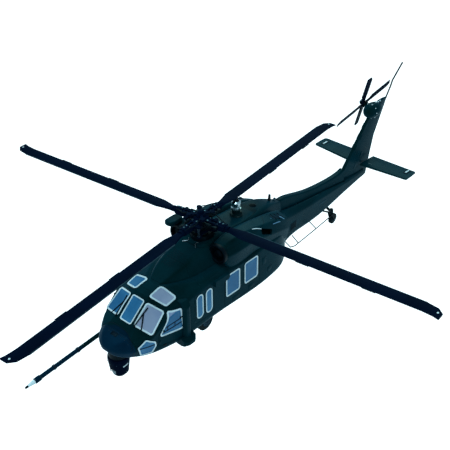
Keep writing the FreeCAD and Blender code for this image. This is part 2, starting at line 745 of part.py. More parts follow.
stab_root_x = 4.6
stab_bore_depth = 9.0
stab_root = (220.6, 244.6, 2.6)   # leading edge y, trailing edge y, thickness
stab_tip = (225.4, 245.0, 1.7)
stab_tip_round = 3.0          # corner radius of each tip, seen from above


def stab_panel():
    wires = []
    for x, (front, back, thick) in ((stab_root_x, stab_root), (stab_half, stab_tip)):
        wires.append(foil_wire(lambda along, up: Vector(x, front + along, stab_z + up),
                               back - front, thick))
    panel = loft(wires, True)
    beside = 30.0
    trim = top_prism([(-beside, stab_root[0] - 4.0), (stab_half, stab_tip[0] - 0.01),
                      (stab_half, stab_tip[1] + 0.01), (-beside, stab_root[1] + 2.0)],
                     stab_tip_round, stab_z - 5.0, stab_z + 5.0)
    panel = panel.common(trim)
    bore = rod(Vector(0, stab_pivot_y, stab_z),
               Vector(stab_root_x + stab_bore_depth, stab_pivot_y, stab_z), stab_pivot_r)
    return panel.cut(bore)


keep("stabilator", group(both_sides([stab_panel()])))
rod_end = stab_root_x + stab_bore_depth
keep("stabilator_rod", rod(Vector(-rod_end, stab_pivot_y, stab_z),
                           Vector(rod_end, stab_pivot_y, stab_z), stab_pivot_r))

# ---- Gear fairings, main wheels --------------------------------------------

column_y = (-53.5, -46.5)     # strut column on the hull side behind the cockpit door
column_x = 32.4
column_top = 37.0
foot_plan = [(24.0, -56.5), (34.0, -57.0), (36.6, -53.5), (36.6, -47.5), (33.6, -43.5),
             (24.0, -43.0)]
foot_z = (-2.4, 4.6)


def gear_fairing():
    corners = [Vector(x, y, 1.0) for x, y in (
        (24.0, column_y[0]), (column_x, column_y[0]), (column_x, column_y[1]),
        (24.0, column_y[1]))]
    column = Part.Face(rounded_wire(corners, [0.5, 2.6, 2.6, 0.5]))
    column = column.extrude(Vector(0, 0, column_top - 1.0))
    slope = beyond(Vector(column_x, 0, column_top - 5.0), Vector(0.8, 0, 0.6))
    foot = top_prism(foot_plan, 1.6, foot_z[0], foot_z[1])
    ramp = beyond(Vector(30.5, 0, foot_z[1]), Vector(0.35, 0, 0.94))
    under = beyond(Vector(30.0, 0, foot_z[0]), Vector(0.3, 0, -0.95))
    return column.cut(slope).fuse(foot.cut([ramp, under])).cut(hull_outer)


keep("gear_fairings", group(both_sides([gear_fairing()])))


def wheel_well():
    tray = block(well_x, well_y, (-1.0, well_top + wheel_well_wall)).common(hull_outer)
    void = block((well_x[0] + wheel_well_wall, well_x[1] + 1.0),
                 (well_y[0] + wheel_well_wall, well_y[1] - wheel_well_wall), (-5.0, well_top))
    boss = rod(axle_at(well_x[0]), axle_at(well_x[0] + wheel_well_wall + 0.5), 2.4)
    boss = boss.common(hull_outer)
    axle_hole = rod(axle_at(well_x[0] - 5.0), axle_at(wheel_x), axle_r)
    return tray.cut(void).fuse(boss).cut(axle_hole)


def axle_at(x):
    return Vector(x, wheel_y, wheel_z)


def axle():
    hub_face = wheel_x + wheel_hub / 2
    pin = rod(axle_at(well_x[0]), axle_at(hub_face + face_gap), axle_r)
    head = rod(axle_at(hub_face + face_gap), axle_at(hub_face + face_gap + 0.5), 1.9)
    return pin.fuse(head)


wheel_hub = wheel_wide - 1.8  # width of a main wheel at its hub


def wheel(radius, wide, hub_wide, bore, rim_share=0.58):
    """A tyred wheel turned about X, centred on the origin."""
    rim = radius * rim_share
    profile = [(-hub_wide / 2, bore), (-hub_wide / 2, rim * 0.55),
               (-hub_wide / 2 + 0.5, rim * 0.62), (-hub_wide / 2 + 0.5, rim * 0.9),
               (-wide / 2, rim), (-wide / 2, radius - 2.0), (-wide / 2 + 0.5, radius - 0.9),
               (-wide / 2 + 1.4, radius - 0.15), (-wide / 6, radius)]
    profile += [(-along, r) for along, r in reversed(profile)]
    return turned(profile, Vector(0, 0, 0), PORT)


main_wheel = wheel(wheel_r, wheel_wide, wheel_hub, axle_r + running_gap)
main_wheel.translate(axle_at(wheel_x))
keep("wheel_wells", group(both_sides([wheel_well()])))
keep("main_axles", group(both_sides([axle()])))
keep("main_wheel_port", main_wheel)
keep("main_wheel_starboard", mirrored(main_wheel))

# ---- Tail wheel ------------------------------------------------------------

fork_y = tail_wheel_y - 3.0   # swivel axis, ahead of the tail wheel
housing_z = (-8.6, -4.8)
housing_r = 2.0
stem_r = 0.9
tail_tyre_wide = 3.4
fork_arm = 0.9
fork_gap = 0.35
housing_front = Vector(0, fork_y - 1.2, -6.4)
main_strut = rod(Vector(0, 166.5, 12.0), housing_front, 1.35)
drag_strut = rod(Vector(0, 154.5, 10.0), housing_front + Vector(0, -0.8, -1.0), 0.8)
tail_leg = joined([Part.makeCylinder(housing_r, housing_z[1] - housing_z[0], Vector(
    0, fork_y, housing_z[0])), main_strut, drag_strut])
tail_leg = tail_leg.cut([boom_outer, Part.makeCylinder(stem_r + running_gap, 30.0, Vector(
    0, fork_y, -15.0)), Part.makeCylinder(1.7, 6.0, Vector(0, fork_y, housing_z[1]))])
keep("tail_leg", max(tail_leg.Solids, key=lambda solid: solid.Volume))

crown_z = housing_z[0] - face_gap
crown = Part.makeCylinder(housing_r, 0.9, Vector(0, fork_y, crown_z - 0.9))
stem = Part.makeCylinder(stem_r, housing_z[1] + face_gap - crown_z, Vector(0, fork_y, crown_z))
stem_head = Part.makeCylinder(1.4, 0.5, Vector(0, fork_y, housing_z[1] + face_gap))
arm_x = tail_tyre_wide / 2 + fork_gap
arm_side = [(fork_y - 1.3, crown_z), (fork_y - 1.6, crown_z - 1.4),
            (tail_wheel_y - 1.4, tail_wheel_z - 0.9), (tail_wheel_y + 1.4, tail_wheel_z - 0.9),
            (tail_wheel_y + 1.4, tail_wheel_z + 1.0), (fork_y + 1.7, crown_z)]
arms = [side_prism(arm_side, 0.4, arm_x, arm_x + fork_arm)]
bridge = block((-arm_x - fork_arm, arm_x + fork_arm), (fork_y - 1.3, fork_y + 1.3),
               (crown_z - 0.9, crown_z))
tail_axle_line = rod(Vector(-6, tail_wheel_y, tail_wheel_z), Vector(6, tail_wheel_y, tail_wheel_z),
                     0.7)
fork = joined([crown, stem, stem_head, bridge] + both_sides(arms)).cut(tail_axle_line)
keep("tail_fork", fork)
axle_end = arm_x + fork_arm + 0.4
keep("tail_axle", rod(Vector(-axle_end, tail_wheel_y, tail_wheel_z),
                      Vector(axle_end, tail_wheel_y, tail_wheel_z), 0.7))
tail_tyre = wheel(tail_wheel_r, tail_tyre_wide, tail_tyre_wide, 0.7 + running_gap)
tail_tyre.translate(Vector(0, tail_wheel_y, tail_wheel_z))
keep("tail_wheel", tail_tyre)

# ---- Sensor turret under the nose ------------------------------------------

mount_r = 8.0
mount_z = -2.4
turret_pin_r = 1.4
pin_head_r = 2.6
drum_top = mount_z - face_gap
recess_z = -5.9
turret_at = Vector(0, turret_y, 0)
mount = Part.makeCylinder(mount_r, 8.0, turret_at + UP * mount_z).cut([hull_outer, nose_outer])
mount = max(mount.Solids, key=lambda solid: solid.Volume)
pin_head_top = recess_z - face_gap
turret_pin = Part.makeCylinder(turret_pin_r, mount_z - pin_head_top,
                               turret_at + UP * pin_head_top)
pin_head = Part.makeCylinder(pin_head_r, 0.9, turret_at + UP * (pin_head_top - 0.9))
keep("turret_mount", joined([mount, turret_pin, pin_head]))

rim_z = turret_z - 1.0        # lower rim of the cone that holds the ball
rim_r = turret_r + face_gap + 0.7
yoke = turned([(rim_z, 0.0), (rim_z, rim_r), (drum_top - 3.0, 8.8), (drum_top - 0.8, 8.6),
               (drum_top, 7.8), (drum_top, 0.0)], turret_at, UP)
view_slot = block((-3.2, 3.2), (turret_y - 12.0, turret_y), (rim_z - 1.0, turret_z + 4.4))
trunnion_r = 0.7
turret_ball_room = Part.makeSphere(turret_r + face_gap, Vector(0, turret_y, turret_z))
trunnion_line = rod(Vector(-20, turret_y, turret_z), Vector(20, turret_y, turret_z),
                    trunnion_r + running_gap)
yoke = yoke.cut([
    Part.makeCylinder(turret_pin_r + running_gap, 20.0, turret_at + UP * -10.0),
    Part.makeCylinder(pin_head_r + face_gap, 10.0, turret_at + UP * (recess_z - 10.0)),
    turret_ball_room, trunnion_line, view_slot])
keep("turret_yoke", yoke)
ball = Part.makeSphere(turret_r, Vector(0, turret_y, turret_z))
window_cut = Part.makeCylinder(2.6, 10.0, Vector(0, turret_y - turret_r + 0.9, turret_z),
                               FORWARD)
ball = ball.cut(window_cut).fuse(rod(
    Vector(-rim_r, turret_y, turret_z), Vector(rim_r, turret_y, turret_z), trunnion_r))
keep("turret_ball", ball)

# ---- Refuelling probe ------------------------------------------------------

probe_x = -30.6
probe_back = Vector(probe_x, -44.0, -2.4)
probe_front = Vector(probe_x + 1.0, -148.0, -8.6)
probe_r = 1.75
probe_way = (probe_front - probe_back).normalize()
probe = rod(probe_back, probe_front, probe_r)
sleeve = rod(probe_back + probe_way * 2.0, probe_back + probe_way * 34.0, 2.4)
nozzle = turned([(0.0, 0.0), (0.0, 2.3), (4.5, 2.3), (5.0, 1.5), (6.2, 1.4), (13.0, 0.45),
                 (13.2, 0.0)], probe_front, probe_way)
probe_bracket = block((-31.0, -24.0), (-74.0, -46.0), (-4.0, 6.0)).cut(hull_outer)
probe_all = joined([probe, sleeve, nozzle]).cut(hull_outer)
shoe = [s for s in probe_bracket.Solids if s.BoundBox.ZMin < -3.0]
fairing_port_side = mirrored(gear_fairing())
probe_all = joined([max(probe_all.Solids, key=lambda solid: solid.Volume)] + shoe)
probe_all = probe_all.cut(fairing_port_side)
keep("refuel_probe", max(probe_all.Solids, key=lambda solid: solid.Volume))

# ---- Main rotor ------------------------------------------------------------

clip_z = (bush_low - face_gap - 1.1, bush_low - face_gap)
mast_top = hub_z + 2.0
mast = Part.makeCylinder(mast_r, mast_top - clip_z[0] + 1.0, Vector(0, 0, clip_z[0] - 1.0))
keep("mast", mast)
keep("mast_clip", ring(3.4, mast_r, clip_z[1] - clip_z[0], Vector(0, 0, clip_z[0]), UP))

swash_z = (bush_top + 0.8, bush_top + 2.4)
link_along = 11.0             # where each pitch link stands, along and beside its arm
link_aside = 6.2
link_r = 0.75
arm_half = 3.2                # half width and half height of a hub arm
arm_high = 2.3


def arm_turn(index):
    """Angle about +Z that carries the +X direction onto a blade."""
    return -90.0 + rotor_rest_angle + index * 360.0 / blade_count


def on_arm(shape, index):
    """Turn a shape made along +X, leading edge towards +Y, onto a blade's arm."""
    placed = shape.copy()
    placed.rotate(Vector(0, 0, 0), UP, arm_turn(index))
    return placed


def each_arm(shape):
    return [on_arm(shape, i) for i in range(blade_count)]


swash_arm = plate([Vector(0, -1.6, swash_z[0]), Vector(link_along + 1.2, link_aside - 1.4,
                                                       swash_z[0]),
                   Vector(link_along - 0.6, link_aside + 1.4, swash_z[0]),
                   Vector(-1.6, 2.6, swash_z[0])], 0.6, Vector(0, 0, swash_z[1] - swash_z[0]))
swash = joined([Part.makeCylinder(5.8, swash_z[1] - swash_z[0], Vector(0, 0, swash_z[0]))]
               + each_arm(swash_arm))
keep("swashplate", swash.cut(Part.makeCylinder(mast_r, 90.0)))

horn_low = hub_z - 0.9
link_foot = Vector(link_along - 0.3, link_aside - 0.3, swash_z[1])
link = Part.makeCylinder(link_r, horn_low - swash_z[1], link_foot)
for height in (0.0, horn_low - swash_z[1] - 1.6):
    link = link.fuse(Part.makeCylinder(link_r + 0.5, 1.6, link_foot + UP * height))
keep("pitch_links", group(each_arm(link)))

arm_end = blade_root_r
spindle_r = 1.2
spindle_deep = 5.0
arm_outline = [(0.0, -arm_half), (9.0, -arm_half), (13.0, -2.3), (17.0, -arm_half),
               (arm_end, -2.9), (arm_end, 2.9), (17.0, arm_half), (13.0, 2.3), (9.0, arm_half),
               (0.0, arm_half)]
arm_face = Part.Face(Part.makePolygon([Vector(x, y, hub_z - arm_high) for x, y in
                                       arm_outline + arm_outline[:1]]))
arm = arm_face.extrude(Vector(0, 0, 2 * arm_high))
pocket = block((10.0, 15.6), (-1.2, 1.2), (hub_z + 1.0, hub_z + 5.0))
horn = plate([Vector(link_along - 2.2, 0.0, horn_low), Vector(link_along + 1.6, 0.0, horn_low),
              Vector(link_along + 1.0, link_aside + 1.1, horn_low),
              Vector(link_along - 1.6, link_aside + 1.1, horn_low)], 0.7, Vector(0, 0, 1.6))
grip = rod(Vector(17.6, 0, hub_z), Vector(arm_end, 0, hub_z), 3.3)
arm = joined([arm, horn, grip]).cut(
    [pocket, rod(Vector(arm_end - spindle_deep, 0, hub_z), Vector(60, 0, hub_z), spindle_r)])
hub_low = hub_z - 3.6
hub_high = hub_z + 3.4
hub_core = Part.makeCylinder(6.4, hub_high - hub_low, Vector(0, 0, hub_low))
hub_core = hub_core.makeChamfer(0.9, [e for e in hub_core.Edges if e.Length > 30])
hub = joined([hub_core] + each_arm(arm)).cut(
    Part.makeCylinder(mast_r, mast_top, Vector(0, 0, 0)))
keep("rotor_hub", hub)

bolt_r = 0.6
bolt_high = 0.5
arm_bolts = [(8.0, 1.9), (8.0, -1.9), (18.2, 0.0), (21.6, 0.0)]
bolts = []
for along, aside in arm_bolts:
    seat = hub_z + (arm_high if along < 17 else 3.3)
    bolt = Part.makeCylinder(bolt_r, bolt_high + 0.4, Vector(along, aside, seat - 0.4))
    bolts += each_arm(bolt)
bolts = [b.cut(hub) for b in bolts]
keep("hub_bolts", group(bolts))

damper_line = (Vector(6.6, -5.0, hub_z + 0.6), Vector(17.6, -5.0, hub_z + 0.6))
damper_way = (damper_line[1] - damper_line[0]).normalize()
damper = joined([rod(damper_line[0], damper_line[0] + damper_way * 6.6, 1.5),
                 rod(damper_line[0], damper_line[1], 0.75),
                 block((16.4, 18.6), (-5.9, -arm_half + 1.0), (hub_z - 0.4, hub_z + 1.6)),
                 block((5.9, 7.6), (-5.9, -arm_half + 1.0), (hub_z - 0.4, hub_z + 1.6))])
keep("blade_dampers", group([d.cut(hub) for d in each_arm(damper)]))

cap_z = hub_high              # vibration absorber: a four-armed plate over the hub
cap_core = turned([(0.0, 0.0), (0.0, 4.4), (2.2, 3.6), (2.2, 2.9), (4.0, 2.4), (4.6, 1.2),
                   (4.7, 0.0)], Vector(0, 0, cap_z), UP)
cap_arm = plate([Vector(0, -1.1, cap_z + 1.0), Vector(9.0, -0.9, cap_z + 1.0),
                 Vector(9.0, 0.9, cap_z + 1.0), Vector(0, 1.1, cap_z + 1.0)], 0.3,
                Vector(0, 0, 1.1))
cap_weight = Part.makeCylinder(2.0, 2.0, Vector(9.2, 0, cap_z + 0.6))
cap_parts = []
for piece in each_arm(cap_arm) + each_arm(cap_weight):
    piece.rotate(Vector(0, 0, 0), UP, 45.0)
    cap_parts.append(piece)
keep("hub_absorber", joined([cap_core] + cap_parts))

tip_long = 13.0               # length of the swept tip
tip_sweep = 4.0
# blade sections: radius, chord, thickness, sweep of the leading edge
blade_stations = [
    (blade_root_r, 6.0, 3.2, 0.0), (30.0, 6.8, 2.8, 0.0), (40.0, blade_chord, blade_thick, 0.0),
    (rotor_radius - tip_long, blade_chord, blade_thick - 0.2, 0.0),
    (rotor_radius - 0.35 * tip_long, 0.94 * blade_chord, blade_thick - 0.3, 0.3 * tip_sweep),
    (rotor_radius, 0.68 * blade_chord, 1.1, tip_sweep),
]
lead_share = 0.50             # share of the chord ahead of the blade's axis


def blade():
    wires = []
    for radius, chord, thick, sweep in blade_stations:
        def place(along, up):
            back = along - lead_share * chord + sweep
            return Vector(radius, -back, hub_z + up)
        wires.append(foil_wire(place, chord, thick))
    skin = loft(wires, True)
    spindle = rod(Vector(arm_end - spindle_deep, 0, hub_z), Vector(arm_end + 6.0, 0, hub_z),
                  spindle_r)
    collar = rod(Vector(arm_end, 0, hub_z), Vector(arm_end + 3.0, 0, hub_z), 2.6)
    return joined([skin, spindle, collar])


one_blade = blade()
for i, letter in enumerate("abcd"[:blade_count]):
    keep("main_blade_" + letter, on_arm(one_blade, i))

# ---- Tail rotor ------------------------------------------------------------

boss_face = gearbox_at + tail_axis * boss_end
disc_thick = 1.3
strap_thick = 1.3
hub_disc_r = 3.6
tail_chord = 7.6
tail_pitch = -4.0             # degrees that the paddles are turned about their spans
stack = face_gap
inner_disc = rod(boss_face + tail_axis * stack, boss_face + tail_axis * (stack + disc_thick),
                 hub_disc_r)
strap_a = stack + disc_thick
strap_b = strap_a + strap_thick
outer_from = strap_b + strap_thick
outer_disc = rod(boss_face + tail_axis * outer_from,
                 boss_face + tail_axis * (outer_from + disc_thick), hub_disc_r - 0.8)
stack_end = outer_from + disc_thick
pin_bore = rod(boss_face, boss_face + tail_axis * 20.0, tail_pin_r + running_gap)
keep("tail_rotor_discs", group([inner_disc.cut(pin_bore), outer_disc.cut(pin_bore)]))
pin = rod(boss_face - tail_axis * pin_inside, boss_face + tail_axis * (stack_end + face_gap),
          tail_pin_r)
pin = pin.fuse(rod(boss_face + tail_axis * (stack_end + face_gap),
                   boss_face + tail_axis * (stack_end + face_gap + 0.8), 1.9))
keep("tail_rotor_pin", pin)


def tail_paddle(level, angle):
    """Two opposite tail blades on one strap; level is the height up the pin."""
    turn = math.radians(angle)
    flat = PORT.cross(UP) * -1.0
    other = tail_axis.cross(flat)
    out = flat * math.cos(turn) + other * math.sin(turn)
    side = tail_axis.cross(out)
    centre = boss_face + tail_axis * (level + strap_thick / 2)
    strap_corners = [centre - tail_axis * (strap_thick / 2) + out * a + side * b for a, b in (
        (-9.0, -1.8), (9.0, -1.8), (9.0, 1.8), (-9.0, 1.8))]
    pieces = [plate(strap_corners, 0.5, tail_axis * strap_thick)]
    for way in (1.0, -1.0):
        wires = []
        for radius, chord, thick, sweep in ((5.0, 3.4, 1.2, 0.0), (11.0, tail_chord, 1.15, 0.0),
                                            (34.0, tail_chord, 1.0, 0.0),
                                            (tail_rotor_r, 0.7 * tail_chord, 0.8, 1.4)):
            pitch = math.radians(tail_pitch if radius > 6.0 else 0.0)

            def place(along, up):
                back = along - 0.35 * chord + sweep
                aside = back * math.cos(pitch) + up * math.sin(pitch)
                above = up * math.cos(pitch) - back * math.sin(pitch)
                return centre + out * (way * radius) - side * (way * aside) + tail_axis * above
            wires.append(foil_wire(place, chord, thick, 0.25))
        pieces.append(loft(wires, True))
    return joined(pieces).cut(pin_bore)


keep("tail_paddle_a", tail_paddle(strap_a, tail_rotor_angle))
keep("tail_paddle_b", tail_paddle(strap_b, tail_rotor_angle + 90.0))

# ---- Antennas and wipers ---------------------------------------------------

rail_r = 0.45
rail_points = [Vector(9.6, 98.6, 6.4), Vector(16.5, 98.2, 3.4), Vector(17.6, 103.0, 2.8),
               Vector(16.2, 134.0, 3.6), Vector(13.4, 166.0, 3.4), Vector(3.0, 169.4, 7.6)]
rail_posts = [(Vector(9.0, 110.0, 6.6), Vector(17.3, 108.6, 2.9)),
              (Vector(7.6, 138.0, 7.0), Vector(15.8, 137.2, 3.6))]
rail_bits = [rod(a, b, rail_r) for a, b in zip(rail_points, rail_points[1:])]
knee_r = rail_r + 0.05
rail_bits += [Part.makeSphere(knee_r, p) for p in rail_points[1:-1]]
rail_bits += [rod(a, b, rail_r) for a, b in rail_posts]
rail = joined(rail_bits).cut(boom_outer)
keep("towel_rail", max(rail.Solids, key=lambda solid: solid.Volume))

tip_rod_points = [Vector(0, 262.6, 84.0), Vector(0, 270.6, 96.0), Vector(0, 272.9, 101.1),
                  Vector(0, 287.9, 114.3)]
tip_rod_r = 0.75
tip_rod = [rod(a, b, tip_rod_r) for a, b in zip(tip_rod_points, tip_rod_points[1:])]
tip_rod += [Part.makeSphere(tip_rod_r + 0.05, p) for p in tip_rod_points[1:]]
tip_rod_all = joined(tip_rod).cut(fin_outer)
back_blade = side_prism([(84.4, 50.0), (87.8, 49.0), (87.2, 57.2), (85.6, 57.6)], 0.5, -0.6, 0.6)
belly_blade = side_prism([(68.0, 3.0), (76.0, 3.0), (75.0, -6.6), (71.4, -6.6)], 0.6, -0.6, 0.6)
dome = turned([(-1.0, 0.0), (-1.0, 3.6), (0.8, 3.4), (1.6, 2.2), (2.0, 0.0)],
              Vector(0, 63.5, cowl_top - 4.2), UP)
small = [tip_rod_all] + [piece.cut([cowl_outer, hull_outer, spine]) for piece in
                         (back_blade, belly_blade, dome)]
keep("antennas", group([max(s.Solids, key=lambda solid: solid.Volume) for s in small]))

wiper_lift = 0.25
wiper_thick = 0.5


def wiper(which, outline_points):
    """Two thin arms in a narrow A on a side windshield."""
    normal = facets()[which][1]
    bars = []
    for start, end in outline_points:
        a = on_facet(which, *start) + normal * wiper_lift
        b = on_facet(which, *end) + normal * wiper_lift
        bars.append(rod(a, b, wiper_thick))
    return joined(bars).cut(hull_outer)


port_wiper = wiper(1, [((11.4, -71.6), (10.2, -82.2)), ((11.0, -76.0), (16.2, -84.2)),
                       ((10.2, -82.2), (10.0, -86.2))])
keep("wipers", group(both_sides([max(port_wiper.Solids, key=lambda solid: solid.Volume)])))
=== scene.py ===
import bmesh
import bpy
import json
import math
from mathutils import Matrix, Vector


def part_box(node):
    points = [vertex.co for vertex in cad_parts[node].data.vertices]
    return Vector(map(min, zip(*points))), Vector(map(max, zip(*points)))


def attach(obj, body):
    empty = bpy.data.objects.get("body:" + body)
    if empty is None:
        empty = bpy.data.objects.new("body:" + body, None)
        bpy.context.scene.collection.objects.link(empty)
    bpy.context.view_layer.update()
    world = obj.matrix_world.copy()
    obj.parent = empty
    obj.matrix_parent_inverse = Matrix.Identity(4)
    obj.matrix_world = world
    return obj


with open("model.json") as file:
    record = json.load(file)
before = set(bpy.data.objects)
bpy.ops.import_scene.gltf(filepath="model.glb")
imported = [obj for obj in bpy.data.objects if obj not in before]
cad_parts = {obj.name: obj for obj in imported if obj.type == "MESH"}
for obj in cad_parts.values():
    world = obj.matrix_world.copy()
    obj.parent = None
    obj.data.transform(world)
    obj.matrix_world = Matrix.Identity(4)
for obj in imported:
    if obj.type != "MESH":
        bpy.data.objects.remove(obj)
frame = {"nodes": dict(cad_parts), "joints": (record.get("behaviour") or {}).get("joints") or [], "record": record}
nodes = frame["nodes"]
joints = {joint["name"]: joint for joint in frame["joints"]}
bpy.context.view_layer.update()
scene = bpy.context.scene
milli = 0.001
print("frame loaded:", len(nodes), "nodes")


def newGroup(name, inputs, outputs):
    group = bpy.data.node_groups.new(name, "ShaderNodeTree")
    for label, kind, value in inputs:
        socket = group.interface.new_socket(label, in_out="INPUT", socket_type=kind)
        if value is not None:
            socket.default_value = value
    for label, kind in outputs:
        group.interface.new_socket(label, in_out="OUTPUT", socket_type=kind)
    start = group.nodes.new("NodeGroupInput")
    end = group.nodes.new("NodeGroupOutput")
    return group, start, end


def mathNode(tree, operation, a, b=None, clamp=False):
    node = tree.nodes.new("ShaderNodeMath")
    node.operation = operation
    node.use_clamp = clamp
    for socket, value in zip(node.inputs, (a, b)):
        if value is None:
            continue
        if isinstance(value, (int, float)):
            socket.default_value = value
        else:
            tree.links.new(value, socket)
    return node.outputs[0]


def rangeNode(tree, value, low, high, toLow, toHigh):
    node = tree.nodes.new("ShaderNodeMapRange")
    node.interpolation_type = "SMOOTHSTEP"
    tree.links.new(value, node.inputs["Value"])
    node.inputs["From Min"].default_value = low
    node.inputs["From Max"].default_value = high
    node.inputs["To Min"].default_value = toLow
    node.inputs["To Max"].default_value = toHigh
    return node.outputs["Result"]


def makeGrainGroup():
    group, start, end = newGroup(
        "surfaceGrain",
        [("Vector", "NodeSocketVector", None), ("Scale", "NodeSocketFloat", 60.0),
         ("Strength", "NodeSocketFloat", 0.15)],
        [("Tone", "NodeSocketFloat"), ("Fine", "NodeSocketFloat"),
         ("Normal", "NodeSocketVector")])
    broad = group.nodes.new("ShaderNodeTexNoise")
    broad.inputs["Detail"].default_value = 5.0
    group.links.new(start.outputs["Vector"], broad.inputs["Vector"])
    group.links.new(start.outputs["Scale"], broad.inputs["Scale"])
    fine = group.nodes.new("ShaderNodeTexNoise")
    fine.inputs["Detail"].default_value = 3.0
    group.links.new(start.outputs["Vector"], fine.inputs["Vector"])
    group.links.new(mathNode(group, "MULTIPLY", start.outputs["Scale"], 28.0),
                    fine.inputs["Scale"])
    bump = group.nodes.new("ShaderNodeBump")
    bump.inputs["Distance"].default_value = 0.00012
    group.links.new(start.outputs["Strength"], bump.inputs["Strength"])
    group.links.new(fine.outputs["Fac"], bump.inputs["Height"])
    group.links.new(rangeNode(group, broad.outputs["Fac"], 0.3, 0.7, 0.0, 1.0),
                    end.inputs["Tone"])
    group.links.new(fine.outputs["Fac"], end.inputs["Fine"])
    group.links.new(bump.outputs["Normal"], end.inputs["Normal"])
    return group


def makePanelGroup():
    group, start, end = newGroup(
        "panelLines",
        [("Vector", "NodeSocketVector", None), ("Pitch", "NodeSocketFloat", 0.03),
         ("Rows", "NodeSocketFloat", 0.0142)],
        [("Line", "NodeSocketFloat"), ("Rivet", "NodeSocketFloat")])
    split = group.nodes.new("ShaderNodeSeparateXYZ")
    group.links.new(start.outputs["Vector"], split.inputs[0])
    halfPitch = mathNode(group, "MULTIPLY", start.outputs["Pitch"], 0.5)
    halfRows = mathNode(group, "MULTIPLY", start.outputs["Rows"], 0.5)
    along = mathNode(group, "PINGPONG", split.outputs["Y"], halfPitch)
    upward = mathNode(group, "PINGPONG", split.outputs["Z"], halfRows)
    lineY = rangeNode(group, along, 0.00006, 0.00017, 1.0, 0.0)
    lineZ = rangeNode(group, upward, 0.00006, 0.00017, 1.0, 0.0)
    girth = mathNode(group, "ADD", split.outputs["Z"], split.outputs["X"])
    beat = mathNode(group, "PINGPONG", girth, 0.0011)
    offset = mathNode(group, "SUBTRACT", along, 0.00085)
    squares = mathNode(group, "ADD", mathNode(group, "MULTIPLY", offset, offset),
                       mathNode(group, "MULTIPLY", beat, beat))
    far = mathNode(group, "SQRT", squares)
    group.links.new(mathNode(group, "MAXIMUM", lineY, mathNode(group, "MULTIPLY", lineZ, 0.7)),
                    end.inputs["Line"])
    group.links.new(rangeNode(group, far, 0.00012, 0.00022, 1.0, 0.0), end.inputs["Rivet"])
    return group


def makeDustGroup():
    group, start, end = newGroup(
        "topDust",
        [("Vector", "NodeSocketVector", None), ("Amount", "NodeSocketFloat", 0.2)],
        [("Mask", "NodeSocketFloat")])
    shape = group.nodes.new("ShaderNodeNewGeometry")
    split = group.nodes.new("ShaderNodeSeparateXYZ")
    group.links.new(shape.outputs["Normal"], split.inputs[0])
    noise = group.nodes.new("ShaderNodeTexNoise")
    noise.inputs["Scale"].default_value = 240.0
    noise.inputs["Detail"].default_value = 6.0
    group.links.new(start.outputs["Vector"], noise.inputs["Vector"])
    facing = rangeNode(group, split.outputs["Z"], 0.2, 1.0, 0.0, 1.0)
    speck = rangeNode(group, noise.outputs["Fac"], 0.42, 0.72, 0.0, 1.0)
    group.links.new(mathNode(group, "MULTIPLY", mathNode(group, "MULTIPLY", facing, speck),
                             start.outputs["Amount"]), end.inputs["Mask"])
    return group


grainGroup = makeGrainGroup()
panelGroup = makePanelGroup()
dustGroup = makeDustGroup()


def mixColour(tree, factor, first, second):
    node = tree.nodes.new("ShaderNodeMix")
    node.data_type = "RGBA"
    for socket, value in ((node.inputs["Factor"], factor), (node.inputs["A"], first),
                          (node.inputs["B"], second)):
        if isinstance(value, (tuple, float)):
            socket.default_value = value
        else:
            tree.links.new(value, socket)
    return node.outputs["Result"]


